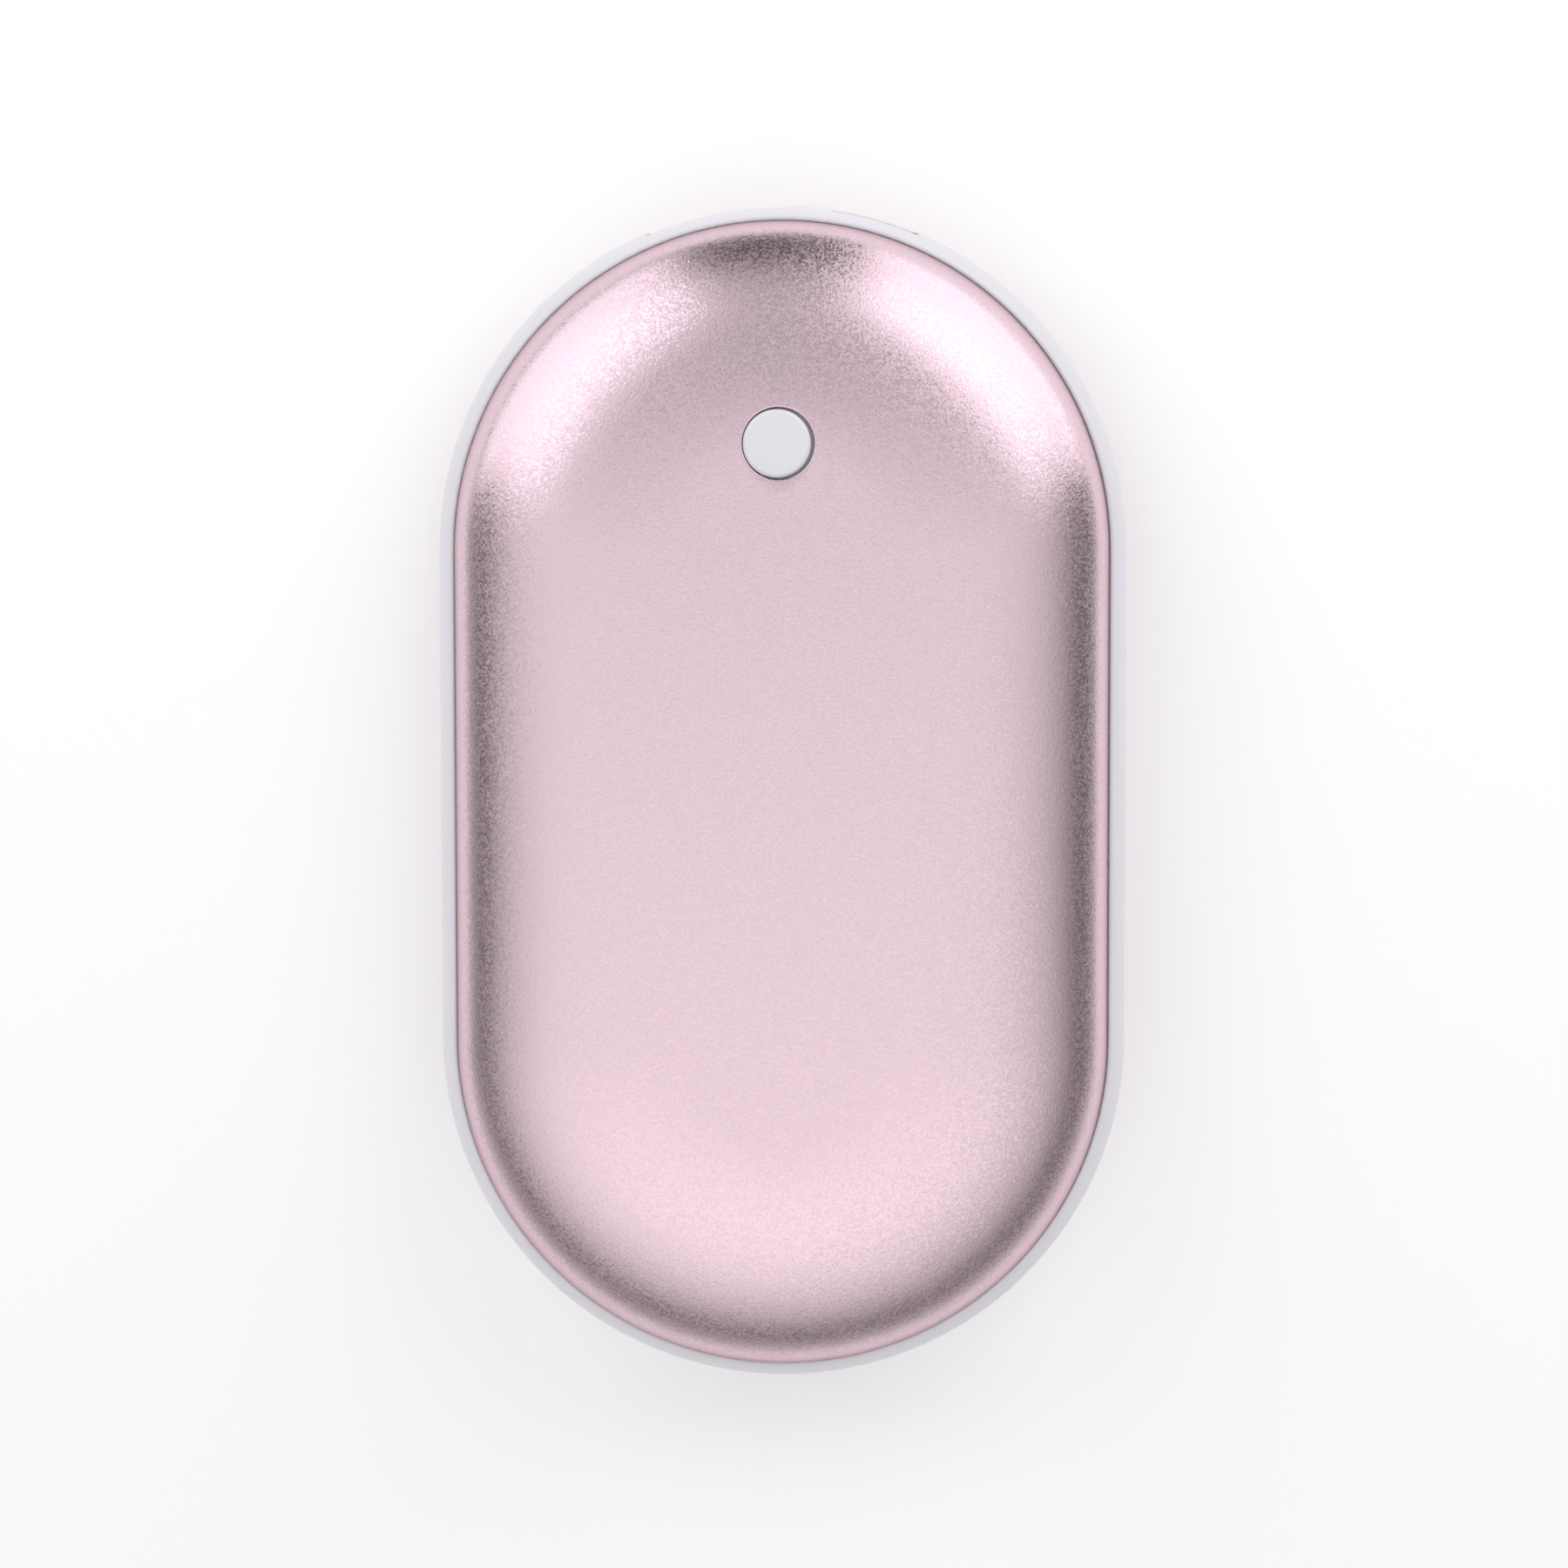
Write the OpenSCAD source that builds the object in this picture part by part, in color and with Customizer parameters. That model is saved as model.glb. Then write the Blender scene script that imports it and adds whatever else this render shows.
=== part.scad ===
// Pocket hand warmer: two crowned aluminium shells clip onto a white plastic frame.
// Inside lie two cylindrical cells in a tray, two heater films, a board with its
// sockets and switch, and the leads that join them.
// The origin is under the middle of the back's flat face, and the button end is +Y.

/* [Body] */
// Overall width, across the frame
body_width = 62; // [54:0.5:72]
// Overall length, over the frame
body_length = 106; // [94:0.5:124]
// Half the height of the white band between the shells
band_half_height = 4.8; // [4.6:0.1:5.6]
// Radius that rounds the band's outer edges
band_edge_radius = 3.4; // [2.6:0.1:4]
// Step from the band's outline in to the shells' outline
shell_inset = 1.7; // [1.6:0.1:2.1]
// Rise of each shell above the band
shell_rise = 7.2; // [6:0.1:8.4]
// Width of a shell's curved margin, from its rim to its flat middle
crown_width = 21; // [19:0.5:23]

/* [Shells and clips] */
// Sheet thickness of the shells
shell_wall = 0.8; // [0.6:0.05:0.9]
// Depth of a shell's skirt in the frame's rebate
skirt_depth = 1.2; // [0.9:0.1:1.3]
// Open seam between a shell's skirt and the frame
seam_gap = 0.1; // [0.05:0.01:0.2]
// Wall of the clip ring that is glued into each shell
clip_wall = 0.95; // [0.8:0.05:1.2]
// Height of the clip ring above the band
clip_rise = 1.2; // [0.8:0.1:1.5]
// Thickness of a snap hook's leg
hook_wall = 0.9; // [0.7:0.05:1.1]
// Width of a snap hook
hook_width = 5; // [3:0.5:6]
// Reach of a hook's barb into the frame's groove
barb_reach = 0.6; // [0.4:0.05:0.8]
// Height of a barb
barb_height = 1.1; // [0.8:0.1:1.3]

/* [Button] */
// Diameter of the button's cap
button_diameter = 5.96; // [5:0.02:7]
// Free space between the cap and its hole, across the diameter
button_play = 0.34; // [0.2:0.02:0.6]
// Distance from the port end to the button's axis
button_setback = 21.8; // [21:0.1:23]
// Travel of the button
button_travel = 0.4; // [0.2:0.05:0.5]
// Height of the cap over the shell
button_proud = 0.25; // [0:0.05:0.6]
// Rounding of the cap's edge
button_edge_radius = 0.4; // [0.1:0.05:0.6]
// Reach of the flange past the cap
flange_reach = 1.3; // [0.8:0.1:1.6]
// Thickness of the flange
flange_thickness = 0.8; // [0.6:0.1:1]
// Diameter of the stem that pushes the switch
stem_diameter = 3; // [2:0.1:3.4]

/* [Cells] */
// Distance from a cell's side to the body's side
cell_side_room = 12.55; // [12.3:0.05:14.5]
// Distance from a cell to the shell's outer face
cell_cover = 2.85; // [2.5:0.05:3.3]
// Distance from the plain end to the cells
plain_end_depth = 12.6; // [12:0.1:15]
// Distance from the port end to the cells
port_bay_depth = 28.4; // [27.8:0.1:33]
// Wall of a cell's sleeve
sleeve_wall = 0.15; // [0.1:0.05:0.3]
// Thickness of the nickel links
link_thickness = 0.2; // [0.1:0.05:0.3]
// Width of the nickel links
link_width = 7; // [5:0.5:9]

/* [Tray] */
// Half the thickness of the tray's side rails
rail_half_height = 1; // [0.8:0.1:1.2]
// Wall of the tray's ribs and end walls
tray_wall = 1.2; // [0.9:0.1:1.4]
// Distance from the middle to the tray's outer ribs
rib_spacing = 12.5; // [10.5:0.5:14.5]
// Distance from the middle to the frame's screw lugs, along the body
lug_spacing = 17.5; // [17:0.1:18]
// Radius of a screw lug
lug_radius = 2.6; // [2.2:0.1:2.8]
// Shank diameter of the screws
screw_diameter = 1.6; // [1.4:0.1:1.8]
// Head diameter of the screws
screw_head_diameter = 3.2; // [2.8:0.1:3.4]
// Head height of the screws
screw_head_height = 1; // [0.8:0.1:1.2]

/* [Board] */
// Thickness of the board
board_thickness = 1; // [0.8:0.1:1.2]
// Side of the square switch
switch_side = 6.2; // [5.6:0.1:6.4]
// Height of the switch's base
switch_height = 3.4; // [3:0.1:3.8]
// Diameter of the switch's plunger
plunger_diameter = 3.4; // [3:0.1:3.6]
// Side of the square inductor
inductor_side = 7; // [6:0.1:7.4]
// Height of the inductor
inductor_height = 4; // [3:0.1:5]
// Length of the control chip
chip_length = 9.9; // [8:0.1:10.2]
// Width of the control chip
chip_width = 3.9; // [3:0.1:4.2]
// Height of the control chip
chip_height = 1.5; // [1:0.1:2]

/* [Sockets] */
// Width of the large socket's sheet shell
usb_width = 13.1; // [12.8:0.1:13.4]
// Height of the large socket's sheet shell
usb_height = 5.7; // [5.5:0.1:5.8]
// Depth of the large socket
usb_depth = 14; // [12:0.5:14.5]
// Width of the small socket's sheet shell
micro_width = 7.6; // [7.2:0.1:7.8]
// Height of the small socket's sheet shell
micro_height = 2.7; // [2.4:0.1:2.9]
// Depth of the small socket
micro_depth = 5.4; // [5:0.1:6]
// Space between the two sockets
socket_spacing = 3.6; // [3:0.1:4]
// Sheet thickness of the sockets
socket_sheet = 0.3; // [0.2:0.05:0.4]
// Width of the large socket's tongue
tongue_width = 11.1; // [10:0.1:11.4]
// Thickness of the large socket's tongue
tongue_thickness = 1.84; // [1.6:0.02:2]
// Diameter of the indicator windows in the frame
window_diameter = 1.5; // [1:0.1:1.5]

/* [Heaters and leads] */
// Thickness of the heater films
heater_thickness = 0.25; // [0.15:0.05:0.3]
// Half the width of the heater films
heater_half_width = 17; // [14:0.5:19]
// Half the width of the foam pads
pad_half_width = 13.5; // [10:0.5:15]
// Diameter of the cell leads
cell_lead_diameter = 1.4; // [1:0.1:1.5]
// Diameter of the heater leads
heater_lead_diameter = 1; // [0.8:0.1:1.2]
// Diameter of the thermistor's bead
thermistor_diameter = 1.6; // [1.2:0.1:1.8]

/* [Hidden] */
$fn = 72;
// How far a cut runs past what it cuts, and how far joined shapes bite into each other
overrun = 0.5;
bite = 0.3;

// Clearances
glue_gap = 0.05;
hook_gap = 0.1;
tray_gap = 0.2;
seat_gap = 0.25;
cell_clearance = 0.1;
cell_gap = 0.3;
window_gap = 0.2;
thread_gap = 0.05;
shank_gap = 0.1;
plunger_gap = 0.1;
lamp_gap = 0.1;
flange_gap = 0.14;
contact_gap = 0.03;

// Stations across the body, from the middle line outwards
half_width = body_width / 2;
straight = body_length - body_width;
arc_y = straight / 2;
end_y = body_length / 2;
shell_out = half_width - shell_inset;
shell_in = shell_out - shell_wall;
flat_half_width = shell_out - crown_width;
rebate_out = shell_out + seam_gap;
clip_out = shell_in - glue_gap;
frame_in = clip_out - clip_wall;
hook_out = frame_in - hook_gap;
hook_in = hook_out - hook_wall;
tray_out = hook_in - tray_gap;
board_radius = tray_out - tray_gap - seat_gap;

// Heights from the middle plane
mid_height = band_half_height + shell_rise;
rebate_floor = band_half_height - skirt_depth;
clip_top = band_half_height + clip_rise;
barb_top = barb_height + window_diameter / 2 + seat_gap;
barb_low = barb_top - barb_height;
heater_inset = shell_wall + glue_gap;
pad_inset = heater_inset + heater_thickness + cell_clearance;
tray_inset = pad_inset + cell_clearance;

// Snap hooks: two on each long side, and two round each end
hook_spacing = 8.5;
hook_turns_port_end = [40, 140];
hook_turns_plain_end = [252, 288];
hook_turn_width = 2 * asin(hook_width / 2 / frame_in);
barb_nose_share = 0.33;

// Cells, along the body: as wide as the body's width and height both leave room for
cell_diameter = min((body_width - cell_gap) / 2 - cell_side_room, 2 * (mid_height - cell_cover));
cell_length = body_length - port_bay_depth - plain_end_depth;
cell_radius = cell_diameter / 2;
can_radius = cell_radius - sleeve_wall - contact_gap;
cell_x = (cell_diameter + cell_gap) / 2;
cell_front_y = end_y - port_bay_depth;
cell_back_y = cell_front_y - cell_length;
cap_inset = 2.55;
cap_radius = cell_radius - cap_inset;
nub_share = 0.44;
nub_radius = cap_radius * nub_share;
nub_height = 1;
cap_height = 0.8;
crimp_depth = 0.6;
crimp_width = 1.2;
crimp_setback = 3;
washer_thickness = 0.2;
link_half_length = cell_x + nub_radius;
link_corner = 1.5;

// Tray, with the frame's lugs and the bosses that carry the board
rail_setback = 7.5;
arm_margin = 0.2;
keel_share = 0.55;
lug_inset = 2.4;
boss_setback = 3.2;
bay_half_width = cell_x + cell_radius + seat_gap;
wall_front_y = cell_front_y + link_thickness + seat_gap;
wall_back_y = cell_back_y - link_thickness - seat_gap;
rail_back_y = cell_back_y + rail_setback;
rail_front_y = max(wall_front_y, lug_spacing + lug_radius);
wall_top = 1.4;
keel_half_width = 3.5;
keel_top = -cell_radius * keel_share;
lug_x = tray_out - lug_inset;
rib_half_width = lug_x - lug_radius - seat_gap;
board_gap = 0.4;
board_back_y = wall_front_y + tray_wall + board_gap;
boss_radius = 2.2;
boss_offset = 0.7;
boss_x = bay_half_width + boss_offset;
boss_y = board_back_y + boss_setback;
arm_in = boss_x - boss_radius - arm_margin;
arm_out = boss_x + boss_radius + arm_margin;
arm_front_y = boss_y + boss_radius + arm_margin;
wall_half_width = arm_in + bite;
screw_depth_share = 0.85;
cross_width = 0.4;
cross_depth = 0.5;

// Sockets: the large one hangs under the board at mid height, the small one beside it
sockets_width = usb_width + socket_spacing + micro_width;
usb_x = -sockets_width / 2 + usb_width / 2;
micro_x = sockets_width / 2 - micro_width / 2;
mouth_recess = 0.2;
mouth_y = arc_y + sqrt(pow(half_width, 2) - pow(sockets_width / 2, 2)) - mouth_recess;
board_low = usb_height / 2;
board_top = board_low + board_thickness;
micro_z = board_low - micro_height / 2;
socket_corner = 0.6;
micro_slant = 0.8;
micro_window_corner = 0.4;
tongue_setback = 0.9;
tongue_offset = 0.7;
usb_contact_width = 1;
usb_contact_thickness = 0.2;
usb_contact_inner = 1;
usb_contact_outer = 3.5;
usb_root_depth = 4.5;
spring_slot_width = 1.9;
spring_slot_length = 4.2;
spring_slot_x = 3.2;
spring_slot_setback = 3.4;
leg_width = 1.6;
leg_reach = 0.6;
leg_setback = 5;
micro_tongue_width = 3.8;
micro_tongue_thickness = 0.6;
micro_root_depth = 1.4;
micro_contact_pitch = 0.65;
micro_contact_width = 0.3;
micro_contact_thickness = 0.12;

// Switch and button
button_y = end_y - button_setback;
button_hole = button_diameter + button_play;
button_drift_share = 0.72;
button_x = -button_play / 2 * button_drift_share;
flange_radius = button_diameter / 2 + flange_reach;
flange_top = face_height(button_y - arc_y + flange_radius, shell_wall) - flange_gap;
flange_low = flange_top - flange_thickness;
switch_sheet = 0.25;
switch_top = board_top + switch_height + switch_sheet;
plunger_rise = 0.8;
plunger_top = switch_top + plunger_rise;
plunger_depth = 0.7;
collar_wall = 1.1;
collar_floor = 0.6;
collar_gap = button_play;
collar_low = flange_low - button_travel - plunger_gap - collar_floor;
tab_share = 0.6;

// Indicator lamps and their windows, spread round the end's curve from the board's back edge
lamp_count = 4;
lamp_width = 1.6;
lamp_depth = 1.4;
lamp_setback = 0.8;
lamp_rail_gap = 2;
lamp_pitch = 2.74;
pipe_in = tray_out - lamp_gap;
lamp_front = pipe_in - lamp_gap;
lamp_y = max(board_back_y + lamp_setback, rail_front_y + lamp_rail_gap);
lamp_turns = [for (k = [0 : lamp_count - 1])
    asin((lamp_y - arc_y) / pipe_in) + k * asin(lamp_pitch / pipe_in)];

// Small parts under the board: a row along its back edge, and one between it and the sockets
part_gap = 1.2;
capacitor_length = 2;
capacitor_width = 1.25;
capacitor_height = 0.9;
transistor_length = 5;
transistor_width = 4;
transistor_height = 1.2;
row_width = chip_length + transistor_width + inductor_side + 2 * part_gap;
chip_x = -row_width / 2 + chip_length / 2;
first_transistor_x = chip_x + chip_length / 2 + part_gap + transistor_width / 2;
inductor_x = first_transistor_x + transistor_width / 2 + part_gap + inductor_side / 2;
second_transistor_x = inductor_x;
capacitor_step = transistor_width / 2 + part_gap + capacitor_length / 2;
outer_capacitor_x = -sockets_width / 2 - part_gap - capacitor_length / 2;

// Their places along the board, as shares of its depth
board_depth = arc_y + board_radius - board_back_y;
chip_share = 0.22;
inductor_share = 0.27;
first_transistor_share = 0.22;
second_transistor_share = 0.62;
outer_capacitor_shares = [0.36, 0.48, 0.6];
left_capacitor_shares = [0.56, 0.68];
right_capacitor_share = 0.58;
pin_count = 8;
pin_pitch = 1.15;
pin_width = 0.45;
pin_reach = 1;
pin_thickness = 0.2;

// Heater films and pads, along the body
heater_setback = 4;
pad_back_setback = 5;
pad_front_setback = 2;
heater_back_y = cell_back_y + heater_setback;
heater_front_y = button_y - flange_radius - collar_gap - collar_wall - seat_gap;
pad_back_y = cell_back_y + pad_back_setback;
pad_front_y = cell_front_y - pad_front_setback;
pad_low = cell_radius + cell_clearance;

// Leads: their sides, bends and places, and a direction that no stretch of a lead runs along
lead_sides = 8;
lead_bend = 2;
bend_steps = 4;
lead_axis = [1, 1, 1];
lead_setback = 1;
lead_rise = 3.2;
lead_x = 7;
lead_y = board_back_y + lead_setback;
lead_foot = wall_top + tray_gap;
lead_height = board_top + lead_rise;
valley_height = max(link_width / 2 + cell_lead_diameter / 2 + seat_gap,
    sqrt(pow(cell_radius + cell_lead_diameter / 2 + cell_clearance, 2) - pow(cell_x, 2)));
front_lead_x = 11.5;
back_lead_inset = 5.5;
back_lead_x = arm_in - back_lead_inset;
heater_lead_spacing = 2.2;
heater_lead_back_y = heater_front_y - heater_lead_diameter;
thermistor_x = -12.5;
thermistor_y = pad_front_y + seat_gap + thermistor_diameter / 2;
thermistor_lead_diameter = 0.5;
thermistor_lead_spacing = 0.8;

// Height of a shell's face, cut in by inset, at a distance out from the body's middle line
function face_height(out, inset) = let (
        share = max(0, out - flat_half_width) / (crown_width - inset))
    band_half_height + (shell_rise - inset) * sqrt(1 - pow(share, 2));

// Half section of a shell, cut in by inset from its outer face, over a skirt
module crown_section(inset, skirt) {
    reach = crown_width - inset;
    rise = shell_rise - inset;
    intersection() {
        translate([flat_half_width, 0]) scale([reach, rise]) circle(r = 1);
        translate([flat_half_width, 0]) square([reach, rise]);
    }
    square([flat_half_width, rise]);
    if (skirt > 0) translate([0, -skirt]) square([flat_half_width + reach, skirt]);
}

// Carries a half section round the oblong plan of the body
module round_body() {
    for (turn = [0, 180]) {
        rotate(turn) translate([0, arc_y, 0]) rotate_extrude(angle = 180) children();
        rotate([90, 0, turn]) linear_extrude(height = straight, center = true) children();
    }
}

// The solid space under a shell's face, from the shoulder of the band up
module crown_space(inset, skirt) {
    translate([0, 0, band_half_height]) round_body() crown_section(inset, skirt);
}

// Flat oblong plate of the body's plan, with a given end radius
module oblong(radius, low, high) {
    translate([0, 0, low]) linear_extrude(height = high - low) {
        square([2 * radius, straight], center = true);
        for (side = [-1, 1]) translate([0, side * arc_y]) circle(r = radius);
    }
}

// Box between two corners
module span(low, high) {
    translate(low) cube(high - low);
}

// Rectangle with round corners, standing across the body
module rounded_bar(width, height, corner, back_y, front_y) {
    translate([0, front_y, 0]) rotate([90, 0, 0]) linear_extrude(height = front_y - back_y) {
        square([width - 2 * corner, height], center = true);
        square([width, height - 2 * corner], center = true);
        for (x = [-1, 1], z = [-1, 1])
            translate([x * (width / 2 - corner), z * (height / 2 - corner)]) circle(r = corner);
    }
}

module lift() {
    translate([0, 0, mid_height]) children();
}

module mirror_front() {
    mirror([0, 0, 1]) children();
}

module shell_cup() {
    difference() {
        crown_space(0, skirt_depth);
        crown_space(shell_wall, skirt_depth + overrun);
    }
}

module front_shell() {
    color("#dfbfc8") lift() difference() {
        shell_cup();
        translate([0, button_y, 0]) cylinder(d = button_hole, h = mid_height + overrun);
    }
}

module back_shell() {
    color("#dfbfc8") lift() mirror_front() shell_cup();
}

// Section of the frame: a rounded band with a rebate and a hook groove on each side
module frame_section() {
    edge_x = half_width - band_edge_radius;
    edge_z = band_half_height - band_edge_radius;
    difference() {
        union() {
            translate([frame_in, -band_half_height])
                square([edge_x - frame_in, 2 * band_half_height]);
            translate([frame_in, -edge_z]) square([half_width - frame_in, 2 * edge_z]);
            for (side = [-1, 1]) intersection() {
                translate([edge_x, side * edge_z]) circle(r = band_edge_radius);
                translate([edge_x, -band_half_height])
                    square([band_edge_radius, 2 * band_half_height]);
            }
        }
        for (side = [0, 1]) mirror([0, side]) {
            translate([frame_in - overrun, rebate_floor])
                square([rebate_out - frame_in + overrun, band_half_height]);
            translate([frame_in - overrun, barb_low - hook_gap])
                square([overrun + barb_reach + hook_gap, barb_height + 2 * hook_gap]);
        }
    }
}

module lug() {
    translate([0, 0, -rebate_floor]) linear_extrude(height = rebate_floor - rail_half_height) {
        circle(r = lug_radius);
        translate([0, -lug_radius]) square([frame_in + bite - lug_x, 2 * lug_radius]);
    }
}

module socket_windows() {
    translate([usb_x, 0, 0]) rounded_bar(usb_width + 2 * window_gap, usb_height + 2 * window_gap,
        socket_corner + window_gap, arc_y, end_y + overrun);
    translate([micro_x, 0, micro_z]) rounded_bar(micro_width + 2 * window_gap,
        micro_height + 2 * window_gap, micro_window_corner, arc_y, end_y + overrun);
}

module middle_frame() {
    color("#eceaef") lift() difference() {
        union() {
            round_body() frame_section();
            for (x = [0, 1], y = [-1, 1]) mirror([x, 0, 0])
                translate([lug_x, y * lug_spacing, 0]) lug();
        }
        socket_windows();
        for (turn = lamp_turns) translate([0, arc_y, 0]) rotate([0, 90, turn])
            translate([0, 0, frame_in - overrun])
                cylinder(d = window_diameter, h = half_width - frame_in + 2 * overrun);
        for (x = [-1, 1], y = [-1, 1]) translate([x * lug_x, y * lug_spacing, -rebate_floor - overrun])
            cylinder(d = screw_diameter + 2 * thread_gap, h = 2 * rebate_floor);
    }
}

// Section of a snap hook: a leg down inside the frame, with a barb for its groove
module hook_section() {
    translate([hook_in, rebate_floor + hook_gap])
        square([frame_in + bite - hook_in, clip_top - bite - rebate_floor - hook_gap]);
    translate([hook_in, barb_low]) square([hook_wall, clip_top - bite - barb_low]);
    polygon([[hook_out - bite, barb_low], [hook_out + barb_reach * barb_nose_share, barb_low],
        [hook_out + barb_reach, barb_low + barb_height / 2], [hook_out + barb_reach, barb_top],
        [hook_out - bite, barb_top]]);
}

module end_hooks(turns, y) {
    for (turn = turns) translate([0, y, 0]) rotate(turn - hook_turn_width / 2)
        rotate_extrude(angle = hook_turn_width) hook_section();
}

module clip_ring() {
    intersection() {
        difference() {
            oblong(clip_out, rebate_floor, clip_top);
            oblong(frame_in, rebate_floor - overrun, clip_top + overrun);
        }
        crown_space(shell_wall + glue_gap, skirt_depth + overrun);
    }
    for (x = [0, 180], y = [-1, 1]) rotate([90, 0, x]) translate([0, 0, y * hook_spacing])
        linear_extrude(height = hook_width, center = true) hook_section();
    end_hooks(hook_turns_port_end, arc_y);
    end_hooks(hook_turns_plain_end, -arc_y);
}

module front_clip_ring() {
    color("#d8d8dc") lift() clip_ring();
}

module back_clip_ring() {
    color("#d8d8dc") lift() mirror_front() clip_ring();
}

// Cap with a rounded edge, a flange under the shell, and a stem
module power_button() {
    cap_radius_out = button_diameter / 2;
    cap_top = mid_height + button_proud;
    color("#f2f2f4") lift() translate([button_x, button_y, 0]) {
        rotate_extrude() {
            translate([0, flange_low])
                square([cap_radius_out - button_edge_radius, cap_top - flange_low]);
            translate([0, flange_low])
                square([cap_radius_out, cap_top - button_edge_radius - flange_low]);
            intersection() {
                translate([cap_radius_out - button_edge_radius, cap_top - button_edge_radius])
                    circle(r = button_edge_radius);
                translate([0, flange_low]) square([cap_radius_out, cap_top - flange_low]);
            }
            translate([0, flange_low]) square([flange_radius, flange_thickness]);
        }
        translate([0, 0, plunger_top]) cylinder(d = stem_diameter, h = flange_low - plunger_top + bite);
    }
}

// Guide cup glued under the front shell, round the button's flange
module button_collar() {
    outer = flange_radius + collar_gap + collar_wall;
    color("#d8d8dc") lift() intersection() {
        translate([0, button_y, 0]) difference() {
            translate([0, 0, collar_low]) cylinder(r = outer, h = mid_height - collar_low);
            translate([0, 0, collar_low + collar_floor])
                cylinder(r = flange_radius + collar_gap, h = mid_height);
            cylinder(r = stem_diameter / 2 + collar_gap, h = mid_height);
        }
        crown_space(shell_wall + glue_gap, 0);
    }
}

// Saddle ribs and the keel, cut out for the cells and low between them
module tray_saddles() {
    difference() {
        union() {
            for (y = [-1, 0, 1])
                span([-rib_half_width, y * rib_spacing - tray_wall / 2, -mid_height],
                    [rib_half_width, y * rib_spacing + tray_wall / 2, -rail_half_height + bite]);
            span([-keel_half_width, wall_back_y - tray_wall / 2, -cell_radius],
                [keel_half_width, wall_front_y + tray_wall / 2, keel_top]);
        }
        for (x = [-1, 1]) translate([x * cell_x, wall_front_y + tray_wall, 0]) rotate([90, 0, 0])
            cylinder(r = cell_radius + cell_clearance, h = wall_front_y - wall_back_y + 2 * tray_wall);
        span([-keel_half_width, wall_back_y, keel_top], [keel_half_width, wall_front_y, mid_height]);
    }
}

module tray_body() {
    // Side rails and the arms that carry the board
    intersection() {
        oblong(tray_out, -rail_half_height, rail_half_height);
        for (x = [0, 1]) mirror([x, 0, 0]) {
            span([bay_half_width, rail_back_y, -rail_half_height],
                [half_width, rail_front_y, rail_half_height]);
            span([arm_in, wall_front_y - bite, -rail_half_height],
                [arm_out, arm_front_y, rail_half_height]);
        }
    }
    for (x = [-1, 1]) translate([x * boss_x, boss_y, -rail_half_height])
        cylinder(r = boss_radius, h = board_low + rail_half_height);
    // Saddles and end walls, cut to the back shell's curve
    intersection() {
        union() {
            tray_saddles();
            for (y = [wall_back_y - tray_wall, wall_front_y])
                span([-wall_half_width, y, -cell_radius], [wall_half_width, y + tray_wall, wall_top]);
        }
        union() {
            mirror_front() crown_space(tray_inset, band_half_height - rail_half_height);
            oblong(tray_out, -band_half_height, wall_top + overrun);
        }
    }
}

module inner_tray() {
    color("#e6e4dc") lift() difference() {
        tray_body();
        for (x = [-1, 1]) {
            for (y = [-1, 1]) translate([x * lug_x, y * lug_spacing, -rail_half_height - overrun])
                cylinder(d = screw_diameter + 2 * shank_gap, h = 2 * (rail_half_height + overrun));
            translate([x * boss_x, boss_y, -rail_half_height - overrun])
                cylinder(d = screw_diameter + 2 * thread_gap, h = board_low + mid_height);
        }
    }
}

// A cell lies along the body: its local height runs from its negative end to its nub
module at_cell(side) {
    lift() translate([side * cell_x, cell_back_y, 0]) rotate([-90, 0, 0]) children();
}

module cell_can(side) {
    can_height = cell_length - nub_height;
    color("#b9bcc2") at_cell(side) rotate_extrude() difference() {
        square([can_radius, can_height]);
        translate([can_radius - crimp_depth, can_height - crimp_setback - crimp_width])
            square([crimp_depth + overrun, crimp_width]);
        translate([0, can_height - cap_height])
            square([cap_radius + contact_gap, cap_height + overrun]);
    }
}

module left_cell_can() {
    cell_can(-1);
}

module right_cell_can() {
    cell_can(1);
}

// Shrink sleeve with a lip over each end of the can
module cell_sleeve(side) {
    can_height = cell_length - nub_height;
    lip = can_radius - cap_radius;
    color("#3f6fb5") at_cell(side) rotate_extrude() {
        translate([cell_radius - sleeve_wall, -sleeve_wall])
            square([sleeve_wall, can_height + 2 * sleeve_wall]);
        translate([cell_radius - lip, -sleeve_wall])
            square([lip - sleeve_wall / 2, sleeve_wall - contact_gap]);
        translate([cell_radius - lip, can_height + contact_gap])
            square([lip - sleeve_wall / 2, sleeve_wall - contact_gap]);
    }
}

module left_cell_sleeve() {
    cell_sleeve(-1);
}

module right_cell_sleeve() {
    cell_sleeve(1);
}

module cell_nubs() {
    color("#cfd1d6") for (side = [-1, 1]) at_cell(side) {
        translate([0, 0, cell_length - nub_height - cap_height])
            cylinder(r = cap_radius, h = cap_height);
        translate([0, 0, cell_length - nub_height - cap_height / 2])
            cylinder(r = nub_radius, h = nub_height + cap_height / 2);
    }
}

module cell_washers() {
    color("#f4f4f0") for (side = [-1, 1]) at_cell(side)
        translate([0, 0, cell_length - nub_height + sleeve_wall]) difference() {
            cylinder(r = cap_radius + contact_gap, h = washer_thickness);
            translate([0, 0, -overrun])
                cylinder(r = nub_radius + cell_clearance, h = washer_thickness + 2 * overrun);
        }
}

// Nickel strip across both cells' ends, with its corners rounded
module link_strip(y) {
    rounded_bar(2 * link_half_length, link_width, link_corner, y, y + link_thickness);
}

module positive_link() {
    color("#c9c6bd") lift() link_strip(cell_front_y);
}

module negative_link() {
    color("#c9c6bd") lift() link_strip(cell_back_y - sleeve_wall - link_thickness);
}

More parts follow.
